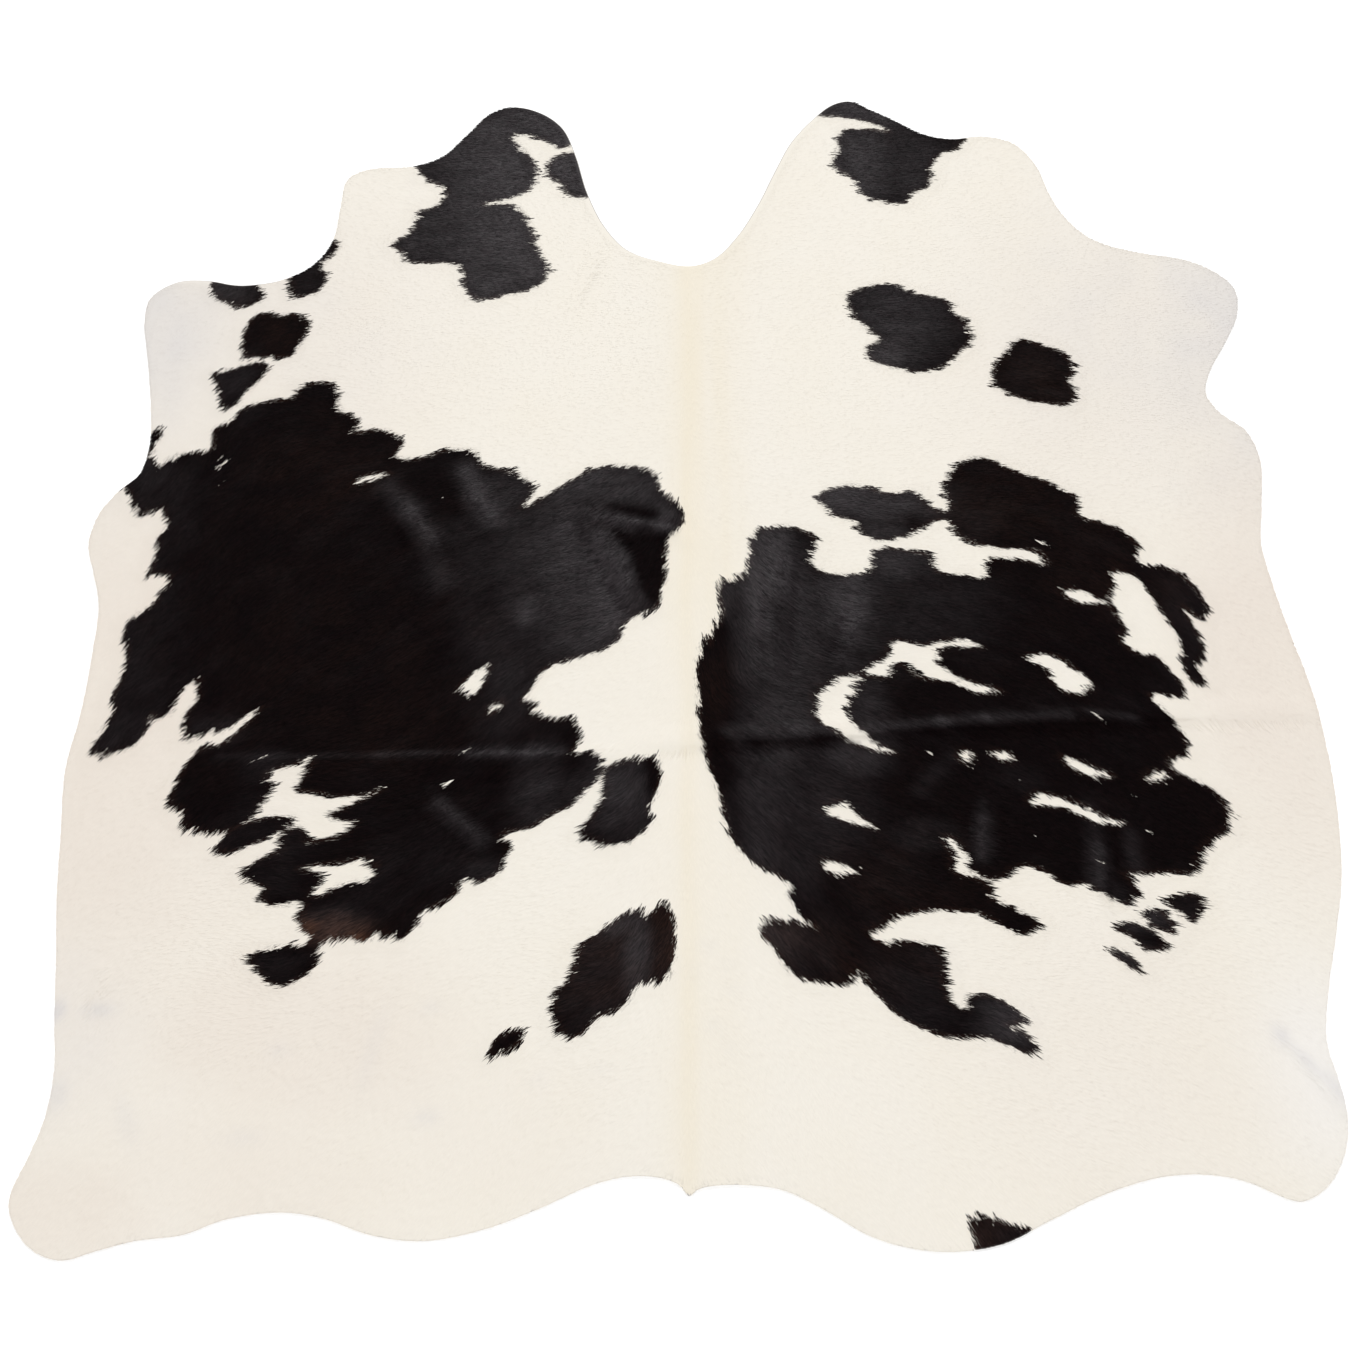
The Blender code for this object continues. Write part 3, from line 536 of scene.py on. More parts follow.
# Blue-grey soil ground into the white of the shoulders and shanks.
SOIL_ZONES = (
    Zone(-94, 158, 17, 26, 0.54), Zone(-70, 160, 24, 26, 0.13),
    Zone(93, 158, 18, 26, 0.46), Zone(74, 160, 22, 26, 0.2),
    Zone(84, 128, 8, 8, 0.14), Zone(-87, 30, 9, 12, 0.14),
    Zone(-83, 36, 3, 1.3, 0.42), Zone(-88.5, 36, 1.4, 2, 0.6),
    Zone(-87, 23.5, 2, 3, 0.32), Zone(-77, 19.5, 1.6, 4, 0.22, 20),
    Zone(82.6, 32.2, 1.2, 1.6, 0.45, 20), Zone(86, 28, 0.9, 4.5, 0.3, 38),
    Zone(89.5, 24, 1.2, 4, 0.32, 30),
    Zone(-61, 17, 3, 1.4, 0.16), Zone(-44, 30, 1.2, 6, 0.14, -12),
    Zone(-36, 20, 2, 1.2, 0.2), Zone(-36, 36.5, 1.6, 1, 0.14),
    Zone(-57, 30, 1.6, 1.2, 0.14),
    # faint dapples beside the rump's spine
    Zone(2.5, 46, 1.5, 1.4, 0.08), Zone(5.5, 43, 1.6, 1.2, 0.08),
    Zone(6.3, 39, 1.4, 1.4, 0.08), Zone(0.8, 42, 1.3, 1.5, 0.07),
    Zone(3.6, 33.5, 1.5, 1.2, 0.09), Zone(6, 30, 1.4, 1.6, 0.07),
    Zone(-12, 27, 1.6, 1.3, 0.07), Zone(-21, 25.5, 1.5, 1.2, 0.07),
)


def to_row(marks: np.ndarray) -> np.ndarray:
    """Turn places in centimetres on the hide into metres in the row frame."""
    return (np.asarray(marks, float) - (SPINE_CM, MIDDLE_CM)) * CM


def smooth_step(low: float, high: float, value: np.ndarray) -> np.ndarray:
    """Rise smoothly from 0 at low to 1 at high."""
    share = np.clip((value - low) / (high - low), 0.0, 1.0)
    return share * share * (3 - 2 * share)


def lattice_noise(u: np.ndarray, v: np.ndarray, seed: int) -> np.ndarray:
    """Give smooth noise from -1 to 1 on a lattice of cells one unit wide.

    Args:
        u: The first coordinate of each place.
        v: The second coordinate of each place.
        seed: Which of many such patterns to give.

    Returns:
        One value for each place.
    """
    cell_u, cell_v = np.floor(u).astype(np.int64), np.floor(v).astype(np.int64)
    part_u, part_v = u - cell_u, v - cell_v
    part_u = part_u * part_u * (3 - 2 * part_u)
    part_v = part_v * part_v * (3 - 2 * part_v)

    def corner(step_u: int, step_v: int) -> np.ndarray:
        """Give a lattice corner its own value.

        Args:
            step_u: 0 or 1, how many cells on.
            step_v: The same the other way.

        Returns:
            A value from -1 to 1 for each place.
        """
        across, along, seeds = LATTICE_PRIMES
        mixed = (cell_u + step_u) * across + (cell_v + step_v) * along
        mixed = (mixed + seed * seeds) & LATTICE_BITS
        mixed = ((mixed ^ (mixed >> 13)) * LATTICE_MIXER) & LATTICE_BITS
        return ((mixed ^ (mixed >> 16)) & 0xFFFF) / 32767.5 - 1

    low = corner(0, 0) * (1 - part_u) + corner(1, 0) * part_u
    high = corner(0, 1) * (1 - part_u) + corner(1, 1) * part_u
    return low * (1 - part_v) + high * part_v


@dataclass(frozen=True)
class Noise:
    """Smooth seeded noise from -1 to 1, with the sizes of its cells in metres."""

    across: float
    along: float
    seed: int

    def at(self, x: np.ndarray, y: np.ndarray) -> np.ndarray:
        """Give the noise at each place."""
        return lattice_noise(x / self.across, y / self.along, self.seed)


@dataclass(frozen=True)
class Mottle:
    """Broad noise with a share of finer noise on it."""

    broad: Noise
    fine: Noise
    fine_share: float = 0.5

    def at(self, x: np.ndarray, y: np.ndarray) -> np.ndarray:
        """Give the mottle at each place."""
        return self.broad.at(x, y) + self.fine_share * self.fine.at(x, y)


def spline_loop(marks: np.ndarray, pieces: int) -> np.ndarray:
    """Round a closed run of corners with a centripetal spline.

    Args:
        marks: The corners, a row for each.
        pieces: How many straight pieces to draw between two corners.

    Returns:
        The points of the rounded loop.
    """
    p1, p0, p2, p3 = marks, np.roll(marks, 1, 0), np.roll(marks, -1, 0), np.roll(marks, -2, 0)
    steps = [np.sqrt(np.linalg.norm(b - a, axis=1))[:, None] + 1e-9
             for a, b in ((p0, p1), (p1, p2), (p2, p3))]
    t1 = steps[0]
    t2 = t1 + steps[1]
    t3 = t2 + steps[2]
    drawn = []
    for piece in range(pieces):
        t = t1 + (t2 - t1) * piece / pieces
        a1 = p0 + (p1 - p0) * t / t1
        a2 = p1 + (p2 - p1) * (t - t1) / (t2 - t1)
        a3 = p2 + (p3 - p2) * (t - t2) / (t3 - t2)
        b1 = a1 + (a2 - a1) * t / t2
        b2 = a2 + (a3 - a2) * (t - t1) / (t3 - t1)
        drawn.append(b1 + (b2 - b1) * (t - t1) / (t2 - t1))
    return np.stack(drawn, 1).reshape(-1, 2)


def depth_inside(x: np.ndarray, y: np.ndarray, loop: np.ndarray) -> np.ndarray:
    """Measure how far inside a closed loop each place lies, below zero outside it.

    Args:
        x: Places across the hide.
        y: Places along the hide.
        loop: The loop's corners, a row for each.

    Returns:
        The depth at each place.
    """
    nearest = np.full(x.shape, np.inf, x.dtype)
    inside = np.zeros(x.shape, bool)
    for (ax, ay), (bx, by) in zip(loop, np.roll(loop, -1, 0)):
        way_x, way_y = bx - ax, by - ay
        off_x, off_y = x - ax, y - ay
        share = np.clip((off_x * way_x + off_y * way_y) / (way_x**2 + way_y**2 + 1e-18), 0, 1)
        nearest = np.minimum(nearest, (off_x - share * way_x)**2 + (off_y - share * way_y)**2)
        if ay != by:
            inside ^= ((ay > y) != (by > y)) & (off_x < off_y * (way_x / way_y))
    return np.where(inside, 1, -1) * np.sqrt(nearest)


@dataclass
class Chart:
    """Values on a grid over the hide's box, read smoothly between its points."""

    cell: float
    margin: float = 3 * CM           # how far past the hide it goes

    def __post_init__(self) -> None:
        """Lay out the chart's points over the CAD box."""
        (low_x, low_y, _), (high_x, high_y, _) = CAD_BOX
        self.xs = np.arange(low_x - self.margin, high_x + self.margin, self.cell)
        self.ys = np.arange(low_y - self.margin, high_y + self.margin, self.cell)
        self.values = np.full((len(self.ys), len(self.xs)), -self.margin)

    @classmethod
    def of(cls, cell: float, rule: Callable) -> "Chart":
        """Fill a chart from a rule that gives a value for places across and along.

        Args:
            cell: The spacing of its points.
            rule: The rule.

        Returns:
            The chart.
        """
        chart = cls(cell)
        chart.values = rule(*np.meshgrid(chart.xs, chart.ys))
        return chart

    def read(self, x: np.ndarray, y: np.ndarray) -> np.ndarray:
        """Read the value at each place.

        Args:
            x: Places across the hide.
            y: Places along the hide.

        Returns:
            The values.
        """
        column = np.clip((x - self.xs[0]) / self.cell, 0, len(self.xs) - LAST_CELL)
        row = np.clip((y - self.ys[0]) / self.cell, 0, len(self.ys) - LAST_CELL)
        c, r = column.astype(int), row.astype(int)
        part_c, part_r = column - c, row - r
        low = self.values[r, c] * (1 - part_c) + self.values[r, c + 1] * part_c
        high = self.values[r + 1, c] * (1 - part_c) + self.values[r + 1, c + 1] * part_c
        return low * (1 - part_r) + high * part_r


@dataclass
class DepthChart(Chart):
    """How deep inside closed loops each place lies, exact within the margin of a loop."""

    cell: float = 2.5 * MM

    def add(self, loop: np.ndarray) -> None:
        """Add a closed loop: the chart keeps the greater depth of the two.

        Args:
            loop: The loop's corners, a row for each.
        """
        near_x = (self.xs > loop[:, 0].min() - self.margin) & (
            self.xs < loop[:, 0].max() + self.margin)
        near_y = (self.ys > loop[:, 1].min() - self.margin) & (
            self.ys < loop[:, 1].max() + self.margin)
        x, y = np.meshgrid(self.xs[near_x], self.ys[near_y])
        window = np.ix_(near_y, near_x)
        self.values[window] = np.maximum(self.values[window], depth_inside(x, y, loop))


def zone_share(zones: tuple[Zone, ...], x: np.ndarray, y: np.ndarray,
               evenness: float = 1.5) -> np.ndarray:
    """Give how strongly the soft zones act at each place.

    Args:
        zones: The soft ovals, of which the strongest rules.
        x: Places across the hide.
        y: Places along the hide.
        evenness: How flat a zone is in its middle, and how quickly it ends.

    Returns:
        A share from 0 to 1 for each place.
    """
    total = np.zeros_like(x)
    for zone in zones:
        middle_x, middle_y = to_row((zone.across, zone.along))
        turn = math.radians(zone.turn_deg)
        off_x, off_y = x - middle_x, y - middle_y
        u = (off_x * math.cos(turn) + off_y * math.sin(turn)) / (zone.half_across * CM)
        v = (off_y * math.cos(turn) - off_x * math.sin(turn)) / (zone.half_along * CM)
        total = np.maximum(total, zone.strength * np.exp(-(u * u + v * v)**evenness))
    return total


def from_segment(x: np.ndarray, y: np.ndarray, start: np.ndarray, end: np.ndarray) -> tuple:
    """Measure each place against a straight piece.

    Args:
        x: Places across the hide.
        y: Places along the hide.
        start: Where the piece begins.
        end: Where it ends.

    Returns:
        The distance to it, the share of the way along it, and whether it lies left of it.
    """
    way_x, way_y = end - start
    share = np.clip(((x - start[0]) * way_x + (y - start[1]) * way_y)
                    / (way_x**2 + way_y**2), 0, 1)
    off_x, off_y = x - start[0] - share * way_x, y - start[1] - share * way_y
    return np.hypot(off_x, off_y), share, way_x * off_y - way_y * off_x > 0


def band_share(bands: tuple[Band, ...], x: np.ndarray, y: np.ndarray) -> np.ndarray:
    """Add up what the soft bands give or take at each place.

    Args:
        bands: The soft bands.
        x: Places across the hide.
        y: Places along the hide.

    Returns:
        Their sum for each place.
    """
    total = np.zeros_like(x)
    for band in bands:
        start = to_row((band.from_across, band.from_along))
        end = to_row((band.to_across, band.to_along))
        distance, _, _ = from_segment(x, y, start, end)
        total += band.strength * np.exp(-(distance / (band.half_width_cm * CM))**2)
    return total


def add_object(name: str, data: bpy.types.ID) -> bpy.types.Object:
    """Make an object from its data and put it in the scene.

    Args:
        name: The object's name.
        data: The mesh, light or camera.

    Returns:
        The new object.
    """
    made = bpy.data.objects.new(name, data)
    bpy.context.scene.collection.objects.link(made)
    return made


def vertex_places(data: bpy.types.Mesh) -> np.ndarray:
    """Read a mesh's vertices, a row for each.

    Args:
        data: The mesh.

    Returns:
        Their places in metres.
    """
    co = np.zeros(len(data.vertices) * 3)
    data.vertices.foreach_get("co", co)
    return co.reshape(-1, 3)


def corner_owners(data: bpy.types.Mesh) -> np.ndarray:
    """Read which vertex each corner of a mesh's faces stands on.

    Args:
        data: The mesh.

    Returns:
        The vertex's number for each corner.
    """
    owners = np.zeros(len(data.loops), int)
    data.loops.foreach_get("vertex_index", owners)
    return owners


def write_vectors(data: bpy.types.Mesh, name: str, rows: np.ndarray) -> None:
    """Write a vector for each vertex under a name."""
    layer = data.attributes.new(name, "FLOAT_VECTOR", "POINT")
    layer.data.foreach_set("vector", np.ascontiguousarray(rows, np.float32).ravel())


def write_map(data: bpy.types.Mesh, u: np.ndarray, v: np.ndarray) -> None:
    """Write the bake map, a place for each corner."""
    layer = data.uv_layers.new(name=BAKE_MAP)
    layer.data.foreach_set("uv", np.stack((u, v), 1).astype(np.float32).ravel())


@dataclass
class HideForm:
    """The heights of the hide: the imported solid's folds, and the leather on them."""

    edge_thickness: float = 2.0 * MM     # bare leather at the cut rim
    leather_thickness: float = 2.2 * MM
    spine_extra: float = 0.9 * MM        # thicker leather over the spine
    spine_half_width: float = 30 * CM    # over which it thins out to either side
    unevenness: float = 0.25 * MM        # of the leather's thickness, in slow waves
    wave_across: float = 23.0            # the waves' turns, in radians a metre
    wave_along: float = 17.0
    wave_start: float = 1.0
    bend: float = 2.0                    # how far the waves bend to the side, in radians
    bend_along: float = 9.0              # and the bends' turns, in radians a metre
    ripple: float = 0.35 * MM            # faint swell of the leather away from the folds
    swell_across: float = 7 * CM         # the cells of the swell, and their slant
    swell_along: float = 11 * CM
    swell_slant: float = 0.4
    swell_seed: int = 5

    def lift(self, x: np.ndarray, y: np.ndarray) -> np.ndarray:
        """Give how high the folds hold the underside off the floor at each place.

        Args:
            x: Places across the hide.
            y: Places along the hide.

        Returns:
            The heights.
        """
        total = np.zeros_like(x)
        for fold in FOLDS.values():
            rows = np.array(fold.crest, float)
            places, rises = to_row(rows[:, :2]), rows[:, 2] * MM
            for start, end, low, high in zip(places, places[1:], rises, rises[1:]):
                distance, share, on_left = from_segment(x, y, start, end)
                width = np.where(on_left, fold.left_side_cm, fold.right_side_cm) * CM
                fall = np.clip(distance / width, 0, 1)
                rise = low + (high - low) * share
                total = np.maximum(total, rise * (0.5 + 0.5 * np.cos(np.pi * fall)))
        return total

    def top(self, x: np.ndarray, y: np.ndarray) -> np.ndarray:
        """Give the height of the leather's grain side, which the hair stands on.

        Args:
            x: Places across the hide.
            y: Places along the hide.

        Returns:
            The height at each place.
        """
        from_spine = np.clip(np.abs(x - SPINE_X) / self.spine_half_width, 0, 1)
        bulk = self.leather_thickness + self.spine_extra * (1 - from_spine)**2
        side = self.bend * np.sin(y * self.bend_along)
        slow = np.sin(x * self.wave_across + side) * np.sin(
            y * self.wave_along + self.wave_start)
        swell = lattice_noise(
            x / self.swell_across + self.swell_slant * y / self.swell_across,
            y / self.swell_along, self.swell_seed)
        return (self.lift(x, y) + bulk + self.unevenness * slow
                + self.ripple * (0.5 + 0.5 * swell))


@dataclass
class HairLie:
    """The way the hair lies: away from the spine and towards the tail, as it is combed."""

    neck_lean: float = 8.0           # degrees tailwards of straight out, where unread
    rump_lean: float = 62.0
    parting_lean: float = 88.0       # close to the spine it runs straight back
    neck_y: float = 0.95             # the lean grows from here
    rump_y: float = -0.85            # to here
    parting: float = 1.6 * CM        # half width of the hair that runs straight back
    close: float = 2.5 * CM          # a reading of the combing rules this near to it
    free: float = 16 * CM            # and fades out this far off
    wander: float = 0.07             # slow turns of the coat, in radians
    turn: Mottle = Mottle(Noise(16 * CM, 20 * CM, 11), Noise(5 * CM, 7 * CM, 12), 1.0)
    cell: float = 1 * CM             # of the chart of the combing
    stride: float = 3 * MM           # steps along the hair when its streaks are traced
    strides: int = 8                 # either way from a place
    streak_seed: int = 21            # of the first width; the others follow on
    evenness: float = 0.155          # spread of a traced streak's mean noise

    def __post_init__(self) -> None:
        """Comb the whole hide once."""
        self.leans = Chart.of(self.cell, self.combed)

    def combed(self, x: np.ndarray, y: np.ndarray) -> np.ndarray:
        """Blend the readings of the combing at each place, in radians.

        Args:
            x: Places across the hide.
            y: Places along the hide.

        Returns:
            The leans.
        """
        lean = self.neck_lean + (self.rump_lean - self.neck_lean) * smooth_step(
            self.neck_y, self.rump_y, y)
        weight = np.full_like(x, (self.free**2 + self.close**2)**-2)
        total = lean * weight
        for row in COMBING:
            comb = Comb(*row)
            at_x, at_y = to_row((comb.across, comb.along))
            pull = ((x - at_x)**2 + (y - at_y)**2 + self.close**2)**-2
            total += comb.lean_deg * pull
            weight += pull
        return np.radians(total / weight) + self.wander * self.turn.at(x, y)

    def way(self, x: np.ndarray, y: np.ndarray) -> tuple[np.ndarray, np.ndarray]:
        """Give the unit direction from root to tip at each place.

        Args:
            x: Places across the hide.
            y: Places along the hide.

        Returns:
            The two parts of the direction, across and along.
        """
        out = np.abs(x - SPINE_X)
        lean = self.leans.read(x, y)
        back = math.radians(self.parting_lean)
        lean = lean + (back - lean) * np.exp(-(out / self.parting)**2)
        return np.where(x < SPINE_X, -1.0, 1.0) * np.cos(lean), -np.sin(lean)

    def streaks(self, x: np.ndarray, y: np.ndarray, widths: tuple[float, ...]) -> list:
        """Give noise that runs in streaks along the hair, for each of a few widths.

        Args:
            x: Places across the hide.
            y: Places along the hide.
            widths: How wide the streaks are.

        Returns:
            The noise at each place, by width.
        """
        totals = [np.zeros_like(x) for _ in widths]
        for sense in (-1, 1):
            at_x, at_y = x, y
            for _ in range(self.strides):
                way_x, way_y = self.way(at_x, at_y)
                at_x = at_x + sense * self.stride * way_x
                at_y = at_y + sense * self.stride * way_y
                for number, width in enumerate(widths):
                    noise = Noise(width, width, self.streak_seed + number)
                    totals[number] += noise.at(at_x, at_y)
        return [total / (2 * self.strides * self.evenness) for total in totals]


@dataclass
class CoatMap:
    """Where the coat is black or white, and what cast it has, at any place."""

    lie: HairLie
    rounding: int = 3                # straight pieces between two corners of an outline
    share_cell: float = 4 * MM       # of the charts of the casts
    # how a patch's edge breaks up
    clump_width: float = 9 * MM      # clumps of hair, and the wisps in them
    wisp_width: float = 2.8 * MM
    clump_slip: float = 2.2 * MM     # how far clumps, wisps and locks slip along the hair
    wisp_slip: float = 9.5 * MM
    lock_slip: float = 3 * MM
    spike_mean: float = 0.45         # of a spike's height, taken off so that edges stay
    clump_pull: float = 0.35         # how far a clump draws out its wisps
    sway: float = 1.6 * MM           # how far clumps stray to the side
    rough: float = 1.7 * MM          # how far the edge strays in small teeth
    teeth: Noise = Noise(0.006, 0.006, 23)
    lobed: float = 1.6 * MM          # and in broader lobes
    lobes: Noise = Noise(0.014, 0.014, 24)
    # the black's painted sheen and brown
    sheen_width: float = 12 * MM     # of the streaks in the black's sheen
    sheen_streak: float = 0.05       # how far streaks and clouds change the sheen
    sheen_cloud: float = 0.13
    cloud: Mottle = Mottle(Noise(0.022, 0.026, 41), Noise(0.009, 0.012, 42), 0.7)
    sheen_mottle: Noise = Noise(5 * CM, 6 * CM, 31)
    plain_mottle: float = 0.025      # how far mottle, streaks and clouds show where there
    plain_streak: float = 0.01       # is no sheen
    sheen_top: float = 1.1           # the most sheen that the black can have
    painted_shade_edge: float = 3 * MM      # a hollow's painted shade fades out over this on either side
    fringe: float = 3 * MM           # black hairs over white look brown this near an edge
    fringe_brown: float = 0.2        # and this strongly
    brown_noise: Noise = Noise(3 * CM, 3 * CM, 35)
    brown_mottle: float = 0.5        # of the brown zones' strength
    stray_brown: float = 0.015       # brown in all of the black
    # the white's casts
    cast_mottle: float = 0.05        # of the yellow
    plain_yellow: float = 0.46       # share of yellow away from the spine
    yellow_noise: Mottle = Mottle(Noise(9 * CM, 12 * CM, 33), Noise(3 * CM, 5 * CM, 34))
    spine_aside: float = 2.5 * CM    # the yellow band lies this far right of the spine
    spine_band: float = 6.5 * CM     # its half width
    band_yellow: float = 0.3         # and what it adds to the yellow
    band_runs: Noise = Noise(0.013, 0.22, 40)
    band_mottle: float = 0.45        # how far the runs change the band
    band_low: float = 0.4            # of the band is left towards the rump
    band_fade: tuple[float, float] = (-15 * CM, 5 * CM)      # it grows between these y
    spine_core: float = 1.6 * CM     # half width of the line that is yellowest
    core_yellow: float = 0.26
    core_wander: float = 3 * MM
    core_noise: Noise = Noise(9 * CM, 9 * CM, 39)
    tan_noise: Mottle = Mottle(Noise(9 * CM, 12 * CM, 36), Noise(3 * CM, 5 * CM, 38))
    tan_mottle: float = 0.16         # how far the noise changes the tan and the soil
    soil_noise: Noise = Noise(4 * CM, 5 * CM, 37)
    soil_mottle: float = 0.3

    def __post_init__(self) -> None:
        """Chart the listed patches, gaps, streaks and shares."""
        self.black, self.white, self.streaks = DepthChart(), DepthChart(), DepthChart()
        self.painted_shade_hollows = DepthChart()
        for chart, table in ((self.black, PATCHES), (self.white, GAPS),
                             (self.painted_shade_hollows, PAINTED_SHADE_HOLLOWS)):
            for corners in table.values():
                chart.add(spline_loop(to_row(corners), self.rounding))
        for row in STREAKS:
            self.streaks.add(self.streak_loop(Streak(*row)))
        rules = (self.painted_sheen, self.brown, self.yellow, self.tan, self.soil)
        self.shares = [Chart.of(self.share_cell, rule) for rule in rules]

    def streak_loop(self, streak: Streak) -> np.ndarray:
        """Give a streak as a thin closed lens.

        Args:
            streak: The streak.

        Returns:
            The lens's corners, a row for each.
        """
        start = to_row((streak.from_across, streak.from_along))
        end = to_row((streak.to_across, streak.to_along))
        way = (end - start) / np.linalg.norm(end - start)
        side = np.array((-way[1], way[0])) * streak.half_width_mm * MM
        middle = (start + end) / 2
        corners = np.array((start - way * MM, middle - side, end + way * MM, middle + side))
        return spline_loop(corners, self.rounding)

    def depth(self, x: np.ndarray, y: np.ndarray) -> np.ndarray:
        """Give how deep in the black each place lies, below zero in the white."""
        return np.minimum(self.black.read(x, y), -self.white.read(x, y))

    def blackness(self, x: np.ndarray, y: np.ndarray, way_x: np.ndarray, way_y: np.ndarray,
                  stray: np.ndarray) -> np.ndarray:
        """Decide black or white for each lock, with edges drawn out in spikes.

        Args:
            x: Where the lock shows, across the hide.
            y: Where the lock shows, along the hide.
            way_x: The locks' directions across the hide.
            way_y: The locks' directions along the hide.
            stray: Each lock's own offset, from -1 to 1.

        Returns:
            1 for black and 0 for white.
        """
        clump, wisp = self.lie.streaks(x, y, (self.clump_width, self.wisp_width))
        spike = np.clip(1 - np.abs(wisp), 0, 1)
        height = self.wisp_slip * (1 + self.clump_pull * np.clip(clump, -1, 1))
        slip = (self.clump_slip * clump - height * (spike - self.spike_mean)
                + self.lock_slip * stray)
        aside = self.sway * clump
        there_x, there_y = x + way_x * slip - way_y * aside, y + way_y * slip + way_x * aside
        rough = self.rough * self.teeth.at(there_x, there_y)
        rough += self.lobed * self.lobes.at(there_x, there_y)
        black = self.depth(there_x, there_y) + rough > 0
        return (black & (self.streaks.read(x, y) < 0)).astype(float)

    def painted_sheen(self, x: np.ndarray, y: np.ndarray) -> np.ndarray:
        """Give the black's painted sheen at each place: how far its colour is lightened to grey,
        less in the painted-shade hollows; the real coat's gloss follows it too.

        Args:
            x: Places across the hide.
            y: Places along the hide.

        Returns:
            The shares.
        """
        mottle, cloud = self.sheen_mottle.at(x, y), self.cloud.at(x, y)
        streak = self.lie.streaks(x, y, (self.sheen_width,))[0]
        share = zone_share(PAINTED_SHEEN_ZONES, x, y) + band_share(PAINTED_SHEEN_BANDS, x, y)
        share = share * (1 + self.sheen_streak * streak + self.sheen_cloud * cloud)
        share = share + self.plain_mottle * mottle + self.plain_streak * (streak + cloud)
        painted_shade = self.painted_shade_hollows.read(x, y)
        return np.clip(share, 0, self.sheen_top) * smooth_step(
            self.painted_shade_edge, -self.painted_shade_edge, painted_shade)

    def brown(self, x: np.ndarray, y: np.ndarray) -> np.ndarray:
        """Give how brown the black is at each place.

        Args:
            x: Places across the hide.
            y: Places along the hide.

        Returns:
            The shares.
        """
        mottle = self.brown_noise.at(x, y)
        at_edge = self.fringe_brown * np.exp(-(self.depth(x, y) / self.fringe)**2)
        share = zone_share(BROWN_ZONES, x, y) * (1 + self.brown_mottle * mottle)
        return np.clip(share + self.stray_brown * mottle + at_edge, 0, 1)

    def yellow(self, x: np.ndarray, y: np.ndarray) -> np.ndarray:
        """Give how yellow the white is at each place: most over the spine.

        Args:
            x: Places across the hide.
            y: Places along the hide.

        Returns:
            The shares.
        """
        out = x - SPINE_X + self.core_wander * self.core_noise.at(y, y)
        off = (out - self.spine_aside) / self.spine_band
        run = 1 + self.band_mottle * self.band_runs.at(x, y)
        run = run * (self.band_low + (1 - self.band_low) * smooth_step(*self.band_fade, y))
        share = self.plain_yellow + self.band_yellow * run * np.exp(-off**4)
        share += self.core_yellow * np.exp(-(out / self.spine_core)**2)
        chalk = zone_share(CHALK_ZONES, x, y, evenness=1)
        share = share + self.cast_mottle * self.yellow_noise.at(x, y)
        return np.clip(share - self.plain_yellow * chalk, 0, 1)

    def tan(self, x: np.ndarray, y: np.ndarray) -> np.ndarray:
        """Give how tanned the white is at each place."""
        mottle = 1 + self.tan_mottle * self.tan_noise.at(x, y)
        return np.clip(zone_share(TAN_ZONES, x, y) * mottle, 0, 1)

    def soil(self, x: np.ndarray, y: np.ndarray) -> np.ndarray:
        """Give how much soil is ground into the white at each place."""
        mottle = 1 + self.soil_mottle * self.soil_noise.at(x, y)
        return np.clip(zone_share(SOIL_ZONES, x, y, evenness=1) * mottle, 0, 1)

    def dress(self, data: bpy.types.Mesh, black: np.ndarray) -> None:
        """Write each vertex's colours and casts, given how black it is.

        Args:
            data: The piece's mesh.
            black: A share for each vertex.
        """
        x, y, _ = np.ascontiguousarray(vertex_places(data).T)
        painted_sheen, brown, *casts = (share.read(x, y) for share in self.shares)
        write_vectors(data, COLOUR_NAME, np.stack((black, painted_sheen, brown), 1))
        write_vectors(data, CAST_NAME, np.stack(casts, 1))


